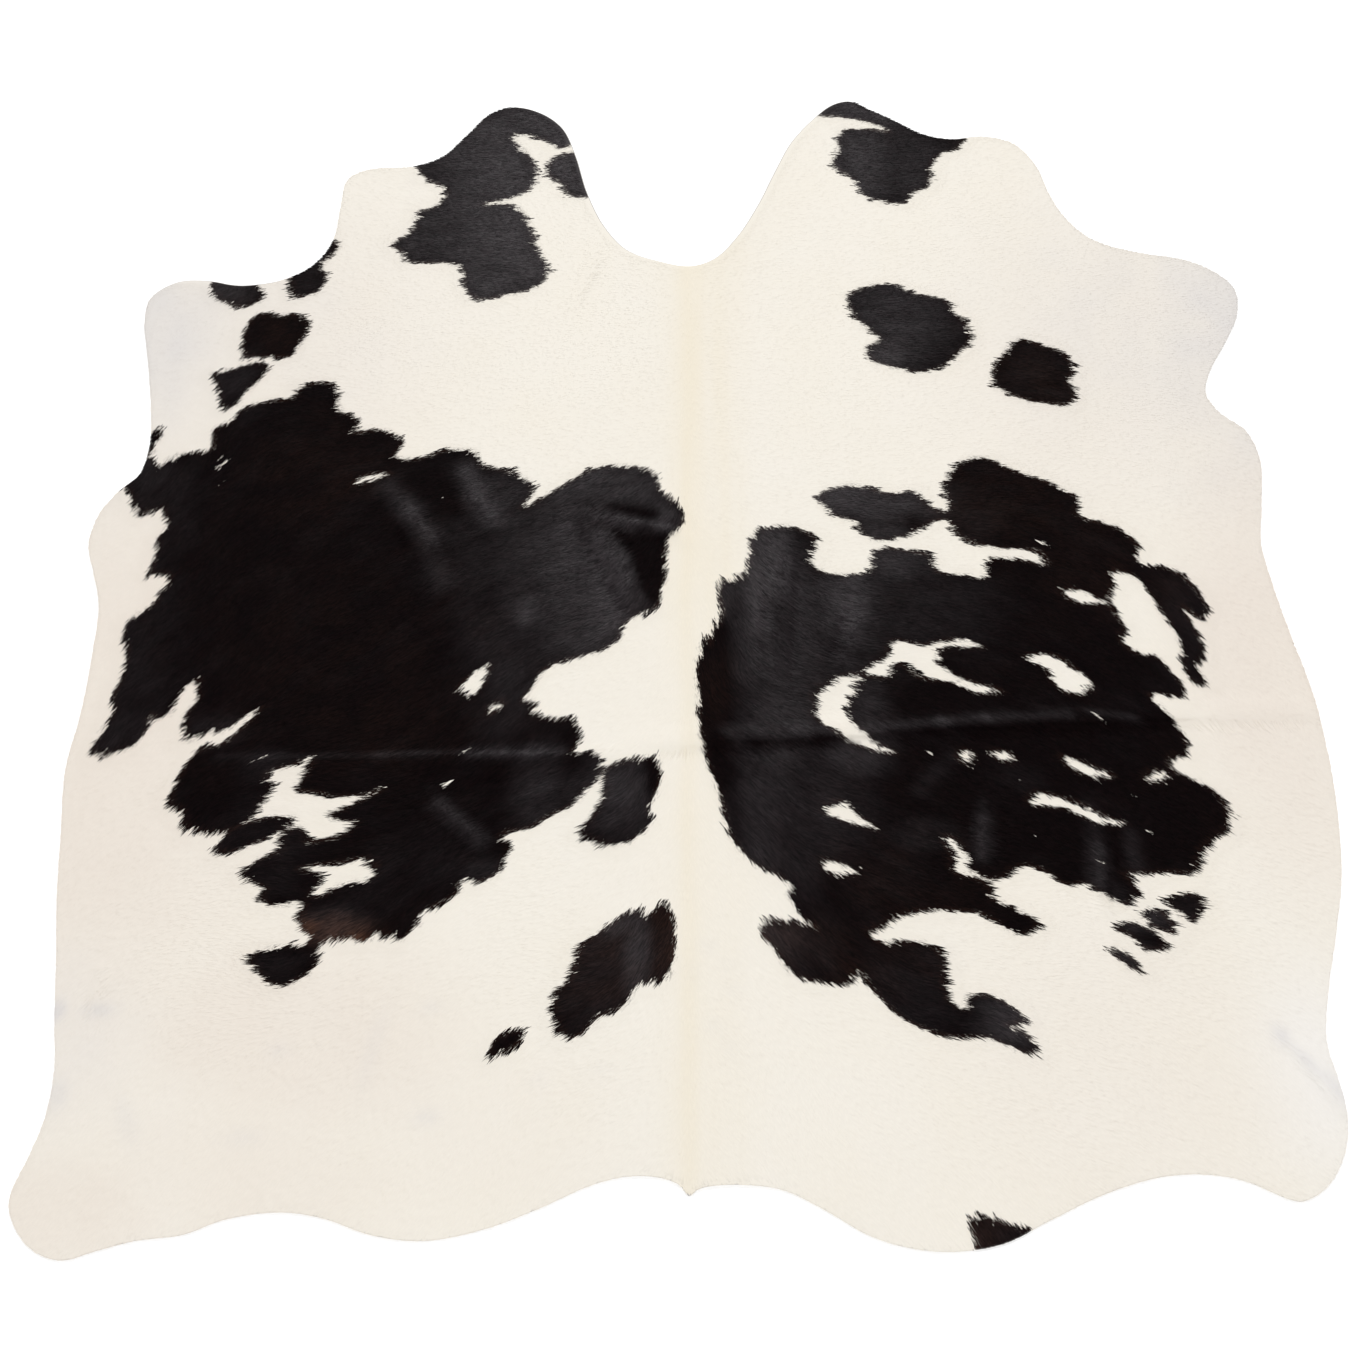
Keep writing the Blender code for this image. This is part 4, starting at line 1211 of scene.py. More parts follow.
@dataclass
class Rim:
    """The hide's cut rim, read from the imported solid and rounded."""

    node: bpy.types.Object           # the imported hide
    step: float = 6.5 * MM           # the longest straight piece to draw
    weld: float = 0.01 * MM          # corners this near to one another are one
    flesh_lean: float = -0.6         # the underside's faces point down by more than this
    wall_lean: float = 0.4           # the wall's faces point up or down by less than this

    def __post_init__(self) -> None:
        """Follow the lower edge of the solid's wall and round it."""
        corners = self.wall_foot()
        spacing = np.linalg.norm(corners - np.roll(corners, 1, 0), axis=1).max()
        self.loop = spline_loop(corners, math.ceil(spacing / self.step))
        self.chart = DepthChart()
        self.chart.add(self.loop)

    def wall_foot(self) -> np.ndarray:
        """Find the corners of the wall's lower edge, in order.

        Returns:
            Their places, running anticlockwise.
        """
        mesh = bmesh.new()
        mesh.from_mesh(self.node.data)
        bmesh.ops.remove_doubles(mesh, verts=mesh.verts, dist=self.weld)
        follows: dict[int, list[int]] = {}
        places = {v.index: v.co.xy.copy() for v in mesh.verts}
        for edge in mesh.edges:
            leans = sorted(face.normal.z for face in edge.link_faces)
            if (len(leans) == 2 and leans[0] < self.flesh_lean
                    and abs(leans[1]) < self.wall_lean):
                for a, b in (edge.verts, reversed(edge.verts)):
                    follows.setdefault(a.index, []).append(b.index)
        mesh.free()
        start = min(follows)
        chain, last = [start], follows[start][0]
        while last != start:
            chain.append(last)
            last = next(n for n in follows[last] if n != chain[-2])
        loop = np.array([places[i] for i in chain])
        after = np.roll(loop, -1, 0)
        area = (loop[:, 0] * after[:, 1] - after[:, 0] * loop[:, 1]).sum() / 2
        return loop if area > 0 else loop[::-1]

    def inset(self, distance: float) -> np.ndarray:
        """Give the rim moved inwards by a distance.

        Args:
            distance: How far.

        Returns:
            The points of the moved loop.
        """
        way = np.roll(self.loop, -1, 0) - np.roll(self.loop, 1, 0)
        inward = np.stack((-way[:, 1], way[:, 0]), 1)
        return self.loop + inward / np.linalg.norm(inward, axis=1)[:, None] * distance


class Tree:
    """A short way to place and join nodes in a shader or geometry tree."""

    def __init__(self, tree: bpy.types.NodeTree) -> None:
        """Keep the tree."""
        self.tree = tree

    def add(self, kind: str, inputs: dict | None = None, **settings: object) -> bpy.types.Node:
        """Place a node, give it settings, and set or join its inputs.

        Args:
            kind: The node's type name.
            inputs: A value or an output socket for each input, by name or number.
            **settings: The node's own properties.

        Returns:
            The new node.
        """
        node = self.tree.nodes.new(kind)
        for name, value in settings.items():
            setattr(node, name, value)
        for key, value in (inputs or {}).items():
            self.feed(node.inputs[key], value)
        return node

    def feed(self, socket: bpy.types.NodeSocket, value: object) -> None:
        """Join an output socket to an input, or set the input's value.

        Args:
            socket: The input.
            value: An output socket, or a plain value.
        """
        if isinstance(value, bpy.types.NodeSocket):
            self.tree.links.new(value, socket)
        else:
            socket.default_value = value

    def math(self, operation: str, a: object, b: object = 0.0) -> bpy.types.NodeSocket:
        """Join two values with the given operation and give the result."""
        node = self.add("ShaderNodeMath", {0: a, 1: b}, operation=operation)
        return node.outputs[0]

    def mix(self, share: object, a: object, b: object) -> bpy.types.NodeSocket:
        """Mix two colours by a share and give the result.

        Args:
            share: How much of the second colour.
            a: The first colour.
            b: The second colour.

        Returns:
            The mixed colour.
        """
        node = self.add("ShaderNodeMix", {"Factor": share}, data_type="RGBA")
        for number, colour in zip(MIX_COLOURS, (a, b)):
            self.feed(node.inputs[number], colour)
        return node.outputs[MIX_RESULT]

    def scaled(self, colour: object, by: object) -> bpy.types.NodeSocket:
        """Make a colour lighter or darker by a factor.

        Args:
            colour: The colour.
            by: The factor.

        Returns:
            The changed colour.
        """
        node = self.add("ShaderNodeVectorMath", {0: colour}, operation="SCALE")
        self.feed(node.inputs["Scale"], by)
        return node.outputs[0]

    def attribute(self, name: str) -> bpy.types.Node:
        """Read one of the piece's own attributes."""
        return self.add("ShaderNodeAttribute", attribute_name=name)

    def noise(self, where: object, scale: float, detail: float = 2.0) -> bpy.types.NodeSocket:
        """Give noise from 0 to 1 at a place."""
        node = self.add("ShaderNodeTexNoise", {"Vector": where, "Scale": scale, "Detail": detail})
        return node.outputs[0]


def new_material(name: str) -> tuple[bpy.types.Material, Tree]:
    """Make a material and open its tree.

    Args:
        name: The material's name.

    Returns:
        The material and its tree.
    """
    made = bpy.data.materials.new(name)
    made.use_nodes = True
    return made, Tree(made.node_tree)


class Side(Enum):
    """Which of the hide's faces a material covers."""

    GRAIN = 0
    EDGE = 1
    FLESH = 2


@dataclass(frozen=True)
class CoatColours:
    """The colours of the hair, and the shader group that mixes them."""

    chalk: tuple[float, ...] = (0.846, 0.820, 0.780, 1)
    spine_yellow: tuple[float, ...] = (0.808, 0.743, 0.617, 1)
    flank_tan: tuple[float, ...] = (0.774, 0.706, 0.632, 1)
    soil: tuple[float, ...] = (0.585, 0.575, 0.605, 1)
    deep_black: tuple[float, ...] = (0.0026, 0.0009, 0.0011, 1)
    # painted sheen: the grey-black that stands in for light the black hair throws back
    painted_sheen_black: tuple[float, ...] = (0.0225, 0.0178, 0.0198, 1)
    brown: tuple[float, ...] = (0.060, 0.027, 0.0165, 1)
    white_spread: float = 0.02       # how far white hairs differ in lightness
    black_spread: float = 2.7        # and black ones
    middle_tone: float = 0.5         # a hair of this tone has the plain colour

    def group(self) -> bpy.types.NodeTree:
        """Build the group: shares and a tone in, the hair's colour out.

        Returns:
            The group.
        """
        tree = bpy.data.node_groups.new("coat_colours", "ShaderNodeTree")
        for name in ("Coat", "Cast"):
            tree.interface.new_socket(name, in_out="INPUT", socket_type="NodeSocketVector")
        tree.interface.new_socket("Tone", in_out="INPUT", socket_type="NodeSocketFloat")
        tree.interface.new_socket("Color", in_out="OUTPUT", socket_type="NodeSocketColor")
        t = Tree(tree)
        given, out = t.add("NodeGroupInput"), t.add("NodeGroupOutput")
        coat = t.add("ShaderNodeSeparateXYZ", {0: given.outputs["Coat"]}).outputs
        cast = t.add("ShaderNodeSeparateXYZ", {0: given.outputs["Cast"]}).outputs
        off = t.math("SUBTRACT", given.outputs["Tone"], self.middle_tone)
        white = t.mix(cast[0], self.chalk, self.spine_yellow)
        white = t.mix(cast[1], white, self.flank_tan)
        white = t.mix(cast[2], white, self.soil)
        white = t.scaled(white, t.math("ADD", 1.0, t.math("MULTIPLY", off, self.white_spread)))
        # painted sheen: the black turns grey-black by the painted-sheen share
        black = t.mix(coat[1], self.deep_black, self.painted_sheen_black)
        black = t.mix(coat[2], black, self.brown)
        black = t.scaled(black, t.math("ADD", 1.0, t.math("MULTIPLY", off, self.black_spread)))
        t.feed(out.inputs[0], t.mix(coat[0], white, black))
        return tree


@dataclass(frozen=True)
class HairFinish:
    """Short, straight, glossy hair in locks, and its dense base between them."""

    roughness: float = 0.65
    shine: float = 0.03              # specular level of deep black hair
    sleek_coat: float = 0.22         # real coat weight where the black has its full painted sheen
    white_coat: float = 0.08
    coat_roughness: float = 0.42
    root_shade: float = 0.985        # the root is this much of the tip's lightness
    root_reach: float = 0.55         # and the shade ends this share of the way along
    lock_share: float = 0.45         # of a hair's tone comes from its whole lock
    hairs_across: float = 3.0        # hairs that show side by side in a lock
    hairs_along: float = 1.2         # how often their tone changes along a lock
    lock_step: float = 97.0          # sets each lock's hairs apart from the others'
    bump: float = 0.15               # how far the hairs' bump turns the light
    bump_height: float = 0.2 * MM
    base_shade: float = 0.98         # the base between the locks is a little darker
    base_grain: float = 420.0        # its hairs, in cycles a metre

    def material(self, colours: bpy.types.NodeTree) -> bpy.types.Material:
        """Build the locks' material.

        Args:
            colours: The group that mixes the coat's colours.

        Returns:
            The material.
        """
        made, t = new_material("lying_hair")
        strand = t.add("ShaderNodeUVMap", uv_map=STRAND_NAME).outputs[0]
        parts = t.add("ShaderNodeSeparateXYZ", {0: strand}).outputs
        tone = t.attribute(TONE_NAME).outputs["Fac"]
        where = t.add("ShaderNodeCombineXYZ", {
            0: t.math("MULTIPLY", parts[0], self.hairs_across),
            1: t.math("MULTIPLY", parts[1], self.hairs_along),
            2: t.math("MULTIPLY", tone, self.lock_step)}).outputs[0]
        hairs = t.noise(where, 1.0, detail=1.0)
        own = t.math("ADD", t.math("MULTIPLY", tone, self.lock_share),
                     t.math("MULTIPLY", hairs, 1 - self.lock_share))
        shade = t.add("ShaderNodeMapRange", {
            "Value": parts[1], "From Min": 0.0, "From Max": self.root_reach,
            "To Min": self.root_shade, "To Max": 1.0}).outputs[0]
        self.dress(t, colours, own, shade, hairs)
        return made

    def base_material(self, colours: bpy.types.NodeTree) -> bpy.types.Material:
        """Build the grain side's material: the dense base of the same hair.

        Args:
            colours: The group that mixes the coat's colours.

        Returns:
            The material.
        """
        made, t = new_material("hair_base")
        where = t.add("ShaderNodeTexCoord").outputs["Object"]
        hairs = t.noise(where, self.base_grain, detail=3.0)
        self.dress(t, colours, hairs, self.base_shade, hairs)
        return made

    def dress(self, t: Tree, colours: bpy.types.NodeTree, tone: object, shade: object,
              height: bpy.types.NodeSocket) -> None:
        """Join the hair's colour, sheen and bump to a material's shader.

        Args:
            t: The material's tree.
            colours: The group that mixes the coat's colours.
            tone: How light each hair is among its neighbours.
            shade: A factor on the colour.
            height: The height that the bump follows.
        """
        shader = t.tree.nodes["Principled BSDF"]
        colour = t.add("ShaderNodeGroup", node_tree=colours)
        t.feed(colour.inputs["Coat"], t.attribute(COLOUR_NAME).outputs["Vector"])
        t.feed(colour.inputs["Cast"], t.attribute(CAST_NAME).outputs["Vector"])
        t.feed(colour.inputs["Tone"], tone)
        t.feed(shader.inputs["Base Color"], t.scaled(colour.outputs[0], shade))
        coat = t.add("ShaderNodeSeparateXYZ", {
            0: t.attribute(COLOUR_NAME).outputs["Vector"]}).outputs
        # the real coat's gloss follows the painted-sheen share
        sleek = t.math("MULTIPLY", coat[1], self.sleek_coat)
        plain = t.math("MULTIPLY", t.math("SUBTRACT", 1.0, coat[0]), self.white_coat)
        t.feed(shader.inputs["Coat Weight"], t.math(
            "ADD", plain, t.math("MULTIPLY", coat[0], sleek)))
        shader.inputs["Coat Roughness"].default_value = self.coat_roughness
        shader.inputs["Roughness"].default_value = self.roughness
        shader.inputs["Specular IOR Level"].default_value = self.shine
        bump = t.add("ShaderNodeBump", {"Strength": self.bump, "Distance": self.bump_height,
                                        "Height": height})
        t.feed(shader.inputs["Normal"], bump.outputs[0])


@dataclass(frozen=True)
class LeatherFinish:
    """Bare tanned leather: the suede of the flesh side, or the cut edge."""

    name: str
    pale: tuple[float, ...]
    dark: tuple[float, ...]
    nap: float                       # how fine the fibres are, in cycles a metre
    bump: float
    bump_height: float = 0.5 * MM
    mottle: float = 9.0              # the broad mottle, in cycles a metre
    mottle_share: float = 0.7        # how far mottle and fibres make the leather paler
    fibre_share: float = 0.5
    dark_share: float = 0.1          # and how far the whole of it is darker
    roughness: float = 0.78
    fibre_roughness: float = 0.18    # which the fibres add
    shine: float = 0.25

    def material(self) -> bpy.types.Material:
        """Build the bare leather's material on object coordinates.

        Returns:
            The material.
        """
        made, t = new_material(self.name)
        shader = t.tree.nodes["Principled BSDF"]
        where = t.add("ShaderNodeTexCoord").outputs["Object"]
        broad = t.noise(where, self.mottle, detail=4.0)
        fibres = t.noise(where, self.nap, detail=3.0)
        share = t.math("ADD", t.math("MULTIPLY", broad, self.mottle_share),
                       t.math("MULTIPLY", fibres, self.fibre_share))
        t.feed(shader.inputs["Base Color"], t.mix(
            t.math("SUBTRACT", share, self.dark_share), self.dark, self.pale))
        t.feed(shader.inputs["Roughness"], t.math(
            "ADD", self.roughness, t.math("MULTIPLY", fibres, self.fibre_roughness)))
        shader.inputs["Specular IOR Level"].default_value = self.shine
        bump = t.add("ShaderNodeBump", {"Strength": self.bump, "Distance": self.bump_height,
                                        "Height": fibres})
        t.feed(shader.inputs["Normal"], bump.outputs[0])
        return made


SUEDE = LeatherFinish(
    "flesh_side_suede", pale=(0.66, 0.57, 0.45, 1), dark=(0.50, 0.41, 0.31, 1),
    nap=700, bump=0.5)
CUT_EDGE = LeatherFinish(
    "cut_edge_leather", pale=(0.62, 0.60, 0.57, 1), dark=(0.42, 0.40, 0.38, 1),
    nap=900, bump=0.6)


@dataclass
class HideSheet:
    """The leather sheet under the hair: grain side, cut edge and flesh side."""

    form: HideForm
    rim: Rim
    coat: CoatMap
    step: float = 9 * MM             # spacing of the grain side's points
    under_step: float = 20 * MM
    clear: float = 0.75              # of a step is left free inside the rim
    weld: float = 1e-7               # points this near to one another are one
    bevel: float = 1.5 * MM          # how far in from the rim the grain side begins
    wall_share: float = 0.85         # of the edge's thickness is upright
    sharp_deg: float = 50.0
    blend: float = 2 * MM            # black and white mix over this on either side
    grain_map: tuple[float, float] = (0.13, 0.868)   # each side's start and height on the
    edge_map: float = 0.108                          # map, from the bottom up
    flesh_map: tuple[float, float] = (0.002, 0.1)
    flat_size: tuple[float, float] = (1.89, 2.10)
    flat_area: float = 3.285

    def net(self, step: float, clearance: float) -> np.ndarray:
        """Give a triangular net of places inside the rim, clear of it.

        Args:
            step: The spacing of the net.
            clearance: How far it keeps off the rim.

        Returns:
            The places, a row for each.
        """
        (low_x, low_y, _), (high_x, high_y, _) = CAD_BOX
        row_step = step * math.sqrt(3) / 2
        rows = np.arange(low_y, high_y, row_step)
        columns = np.arange(low_x, high_x, step)
        x, y = np.meshgrid(columns, rows)
        x = x + (np.arange(len(rows)) % 2 * step / 2)[:, None]
        x, y = x.ravel(), y.ravel()
        keep = self.rim.chart.read(x, y) > clearance
        return np.stack((x[keep], y[keep]), 1)

    def skin(self, mesh: bmesh.types.BMesh, loop: np.ndarray, step: float, top: bool) -> list:
        """Add one side of the sheet.

        Args:
            mesh: The mesh to add to.
            loop: The closed run that the side ends at.
            step: The spacing of its points.
            top: Whether it is the grain side.

        Returns:
            The loop's vertices in order.
        """
        inner = self.net(step, self.clear * step + (self.bevel if top else 0))
        places = [Vector(p) for p in np.concatenate((loop, inner))]
        count = len(loop)
        outline = [(i, (i + 1) % count) for i in range(count)]
        flat, _, triangles, origins, _, _ = delaunay_2d_cdt(
            places, outline, [list(range(count))], 1, self.weld)
        x, y = np.array([p.x for p in flat]), np.array([p.y for p in flat])
        z = self.form.top(x, y) if top else self.form.lift(x, y)
        verts = [mesh.verts.new(co) for co in zip(x, y, z)]
        slot = Side.GRAIN.value if top else Side.FLESH.value
        for a, b, c in triangles:
            up = (flat[b] - flat[a]).cross(flat[c] - flat[a]) > 0
            face = mesh.faces.new([verts[i] for i in ((a, b, c) if up == top else (c, b, a))])
            face.material_index = slot
        index = {old: new for new, olds in enumerate(origins) for old in olds}
        return [verts[index[i]] for i in range(count)]

    def strip(self, mesh: bmesh.types.BMesh, lower: list, upper: list) -> None:
        """Join two loops that run anticlockwise with a strip that faces outwards.

        Args:
            mesh: The mesh to add to.
            lower: The lower loop's vertices.
            upper: The upper loop's vertices.
        """
        for i in range(len(lower)):
            j = (i + 1) % len(lower)
            face = mesh.faces.new((lower[i], lower[j], upper[j], upper[i]))
            face.material_index = Side.EDGE.value

    def build(self) -> bpy.types.Object:
        """Build the sheet's mesh with its attributes and its map.

        Returns:
            The sheet.
        """
        mesh = bmesh.new()
        under = self.skin(mesh, self.rim.loop, self.under_step, top=False)
        over = self.skin(mesh, self.rim.inset(self.bevel), self.step, top=True)
        rise = Vector((0, 0, self.form.edge_thickness * self.wall_share))
        edge = [mesh.verts.new(v.co + rise) for v in under]
        self.strip(mesh, under, edge)
        self.strip(mesh, edge, over)
        data = bpy.data.meshes.new("hide_leather")
        mesh.to_mesh(data)
        mesh.free()
        data.shade_smooth()
        data.set_sharp_from_angle(angle=math.radians(self.sharp_deg))
        sheet = add_object("hide_leather", data)
        self.mark(data)
        self.map(data)
        return sheet

    def mark(self, data: bpy.types.Mesh) -> None:
        """Give each vertex its coat's colours and casts."""
        x, y, _ = np.ascontiguousarray(vertex_places(data).T)
        self.coat.dress(data, smooth_step(-self.blend, self.blend, self.coat.depth(x, y)))

    def map(self, data: bpy.types.Mesh) -> None:
        """Lay the grain side, edge and flesh side out beside one another on a map.

        Args:
            data: The sheet's mesh.
        """
        (low_x, low_y, _), (high_x, high_y, _) = CAD_BOX
        places = vertex_places(data)[corner_owners(data)]
        slots, sizes = (np.zeros(len(data.polygons), int) for _ in range(2))
        data.polygons.foreach_get("material_index", slots)
        data.polygons.foreach_get("loop_total", sizes)
        slot = np.repeat(slots, sizes)
        u = (places[:, 0] - low_x) / (high_x - low_x)
        v = (places[:, 1] - low_y) / (high_y - low_y)
        angle = np.arctan2(places[:, 1], places[:, 0]) / (2 * math.pi) + 0.5
        height = places[:, 2] / (high_x - low_x)
        u = np.where(slot == Side.EDGE.value, angle, u)
        grain, flesh = (start + tall * v for start, tall in (self.grain_map, self.flesh_map))
        v = np.select((slot == Side.GRAIN.value, slot == Side.EDGE.value),
                      (grain, self.edge_map + height), flesh)
        write_map(data, u, v)


@dataclass
class FurCoat:
    """The lying hair: locks set on the leather, each with its own lie, size and colour."""

    form: HideForm
    rim: Rim
    coat: CoatMap
    spacing: float = 1.9 * MM        # between roots where the coat changes colour
    black_share: float = 0.5         # of the locks are kept where the coat is plain
    white_share: float = 0.22
    edge_reach: tuple[float, float] = (1.0 * CM, 2.2 * CM)   # off an edge it grows plain
    rim_pull: float = 1.6            # the rim counts as this many times further off
    root_clear: float = 0.8 * MM     # of the cut rim
    root_sink: float = 0.15 * MM     # into the leather
    neck_length: float = 14 * MM     # of the hair there
    rump_length: float = 22 * MM
    growth: tuple[float, float] = (0.9, -0.6)        # it grows longer between these two y
    edge_length: float = 0.72        # of it is left where the coat changes colour
    length_spread: tuple[float, float] = (0.72, 1.28)
    belly: float = 0.55              # a lock shows most this share of the way along it
    fine_width: float = 1.3 * MM     # of the locks at an edge
    black_width: float = 1.9 * MM    # and of those where the coat is plain
    white_width: float = 2.8 * MM
    width_spread: tuple[float, float] = (0.75, 1.25)
    lift: tuple[float, float] = (0.3 * MM, 1.0 * MM)     # of the tip over its root
    arch: float = 0.25 * MM          # of the middle over a straight line
    arch_spread: tuple[float, float] = (0.5, 1.5)
    white_calm: float = 0.5          # white locks lie this much flatter than black ones
    overhang: float = 2.5 * MM       # how far a tip may pass the cut rim
    overhang_spread: tuple[float, float] = (0.1, 1.0)
    shortest: float = 0.12           # of a lock is left where it is trimmed
    white_roll: float = 0.028        # spread of each lock's roll, in radians
    black_roll: float = 0.13
    stray_turn: float = 0.08         # spread of each lock's own direction
    splay: float = 0.16              # how far tufts turn from their neighbours
    tufts: Noise = Noise(6 * MM, 6 * MM, 51)
    form_cell: float = 3 * MM        # of the chart of the leather's heights
    map_margin: float = 3 * CM       # left free round each column of a strip's map
    seed: int = 7

    def roots(self) -> tuple[np.ndarray, np.ndarray]:
        """Scatter the roots: a jittered net, thinned where the coat is plain.

        Returns:
            Their places across and along the hide.
        """
        chance = np.random.default_rng(self.seed)
        (low_x, low_y, _), (high_x, high_y, _) = CAD_BOX
        x, y = np.meshgrid(np.arange(low_x, high_x, self.spacing),
                           np.arange(low_y, high_y, self.spacing))
        x, y = (axis.ravel() + chance.uniform(-0.5, 0.5, axis.size) * self.spacing
                for axis in (x, y))
        inside = self.rim.chart.read(x, y) > self.root_clear
        x, y = x[inside], y[inside]
        kept = np.where(self.coat.depth(x, y) > 0, self.black_share, self.white_share)
        keep = chance.random(x.size) < 1 + (kept - 1) * self.plainness(x, y)
        return x[keep], y[keep]

    def plainness(self, x: np.ndarray, y: np.ndarray) -> np.ndarray:
        """Give how far each place is from any edge, from 0 to 1."""
        off_rim = self.rim_pull * self.rim.chart.read(x, y)
        off_edge = np.minimum(np.abs(self.coat.depth(x, y)), off_rim)
        return smooth_step(*self.edge_reach, off_edge)

    def locks(self) -> dict[str, np.ndarray]:
        """Work out every lock: where it is rooted, how it is turned, its size and colour.

        Returns:
            The locks' places, turns, sizes and blackness by name, a row for each lock.
        """
        chance = np.random.default_rng(self.seed + 1)
        tops = Chart.of(self.form_cell, self.form.top)
        x, y = self.roots()
        count = x.size
        way_x, way_y = self.coat.lie.way(x, y)
        plain = self.plainness(x, y)
        share = smooth_step(*self.growth, y)
        length = (self.neck_length + (self.rump_length - self.neck_length) * share)
        length = length * (self.edge_length + (1 - self.edge_length) * plain)
        middle = self.belly * length
        black = self.coat.blackness(x + way_x * middle, y + way_y * middle, way_x, way_y,
                                    chance.uniform(-1, 1, count))
        yaw = np.arctan2(way_y, way_x) + chance.normal(0, self.stray_turn, count)
        yaw += self.splay * self.tufts.at(x, y)
        way_x, way_y = np.cos(yaw), np.sin(yaw)
        length = length * chance.uniform(*self.length_spread, count)
        length = self.trimmed(x, y, way_x, way_y, length, chance)
        middle = self.belly * length
        middle_x, middle_y = x + way_x * middle, y + way_y * middle
        plain_width = np.where(black > 0, self.black_width, self.white_width)
        width = self.fine_width + (plain_width - self.fine_width) * plain
        width = width * chance.uniform(*self.width_spread, count)
        foot = tops.read(x, y)
        tip = tops.read(x + way_x * length, y + way_y * length)
        calm = np.where(black > 0, 1.0, self.white_calm)
        tip = tip + chance.uniform(*self.lift, count) * calm
        arch = (tops.read(middle_x, middle_y) - (foot + tip) / 2
                + chance.uniform(*self.arch_spread, count) * self.arch * calm)
        pitch = -np.arctan2(tip - foot, length)
        roll = chance.normal(0, 1, count) * np.where(black > 0, self.black_roll,
                                                     self.white_roll)
        return {
            "place": np.stack((x, y, foot - self.root_sink), 1),
            "turn": np.stack((roll, pitch, yaw), 1),
            "size": np.stack((length, width, arch), 1),
            BLACK_NAME: black,
        }

    def trimmed(self, x: np.ndarray, y: np.ndarray, way_x: np.ndarray, way_y: np.ndarray,
                length: np.ndarray, chance: np.random.Generator) -> np.ndarray:
        """Cut each lock where it would pass the rim by more than a little.

        Args:
            x: Roots across the hide.
            y: Roots along the hide.
            way_x: The locks' directions across the hide.
            way_y: The locks' directions along the hide.
            length: Their lengths.
            chance: Where the random draws come from.

        Returns:
            The lengths that are left.
        """
        at_root = self.rim.chart.read(x, y)
        at_tip = self.rim.chart.read(x + way_x * length, y + way_y * length)
        past = chance.uniform(*self.overhang_spread, x.size) * self.overhang
        cut = np.clip((at_root + past) / np.maximum(at_root - at_tip, 1e-6), self.shortest, 1)
        return np.where(at_tip < -past, length * cut, length)

    def tree(self) -> tuple[bpy.types.NodeTree, dict[str, str]]:
        """Build the tree that sets a lock on every root.

        Returns:
            The tree, and the identifier of each of its named inputs.
        """
        tree = bpy.data.node_groups.new("set_locks", "GeometryNodeTree")
        face = tree.interface
        face.new_socket("Roots", in_out="INPUT", socket_type="NodeSocketGeometry")
        named = {}
        for name, kind in (("Tone seed", "Int"), ("Hair", "Material")):
            made = face.new_socket(name, in_out="INPUT", socket_type=f"NodeSocket{kind}")
            named[name] = made.identifier
        face.new_socket("Locks", in_out="OUTPUT", socket_type="NodeSocketGeometry")
        t = Tree(tree)
        given, out = t.add("NodeGroupInput"), t.add("NodeGroupOutput")
        lock = self.lock_shape(t)
        tone = t.add("FunctionNodeRandomValue", {"Seed": given.outputs["Tone seed"]},
                     data_type="FLOAT")
        toned = t.add("GeometryNodeStoreNamedAttribute",
                      {"Geometry": given.outputs["Roots"], "Name": TONE_NAME,
                       "Value": tone.outputs[1]}, data_type="FLOAT", domain="POINT")
        turn, size = (t.add("GeometryNodeInputNamedAttribute", {"Name": name},
                            data_type="FLOAT_VECTOR").outputs[0]
                      for name in ROOT_VECTORS)
        rotation = t.add("FunctionNodeEulerToRotation", {0: turn}).outputs[0]
        home = t.add("GeometryNodeStoreNamedAttribute",
                     {"Geometry": toned.outputs[0], "Name": HOME_NAME,
                      "Value": t.add("GeometryNodeInputPosition").outputs[0]},
                     data_type="FLOAT_VECTOR", domain="POINT")
        placed = t.add("GeometryNodeInstanceOnPoints",
                       {"Points": home.outputs[0], "Instance": lock,
                        "Rotation": rotation, "Scale": size})
        real = t.add("GeometryNodeRealizeInstances", {"Geometry": placed.outputs[0]})
        dressed = t.add("GeometryNodeSetMaterial",
                        {"Geometry": real.outputs[0], "Material": given.outputs["Hair"]})
        t.feed(out.inputs[0], dressed.outputs[0])
        return tree, named

    @staticmethod
    def lock_shape(t: Tree) -> bpy.types.NodeSocket:
        """Shape one lock, a metre long and wide, as a kite bent at its belly.

        Args:
            t: The tree to build it in.

        Returns:
            The lock's geometry.
        """
        ring = t.add("GeometryNodeMeshCircle", {"Vertices": 4, "Radius": 1.0}, fill_type="NGON")
        parts = t.add("ShaderNodeSeparateXYZ",
                      {0: t.add("GeometryNodeInputPosition").outputs[0]}).outputs
        along = t.math("MULTIPLY", t.math("ADD", parts[0], 1.0), 0.5)
        across = t.math("MULTIPLY", parts[1], 0.5)
        bow = t.math("ABSOLUTE", parts[1])
        where = t.add("ShaderNodeCombineXYZ", {0: along, 1: across, 2: bow}).outputs[0]
        flat = t.add("ShaderNodeCombineXYZ",
                     {0: t.math("ADD", across, 0.5), 1: along}).outputs[0]
        mapped = t.add("GeometryNodeStoreNamedAttribute",
                       {"Geometry": ring.outputs[0], "Name": STRAND_NAME, "Value": flat},
                       data_type="FLOAT2", domain="CORNER")
        shaped = t.add("GeometryNodeSetPosition",
                       {"Geometry": mapped.outputs[0], "Position": where})
        return shaped.outputs[0]

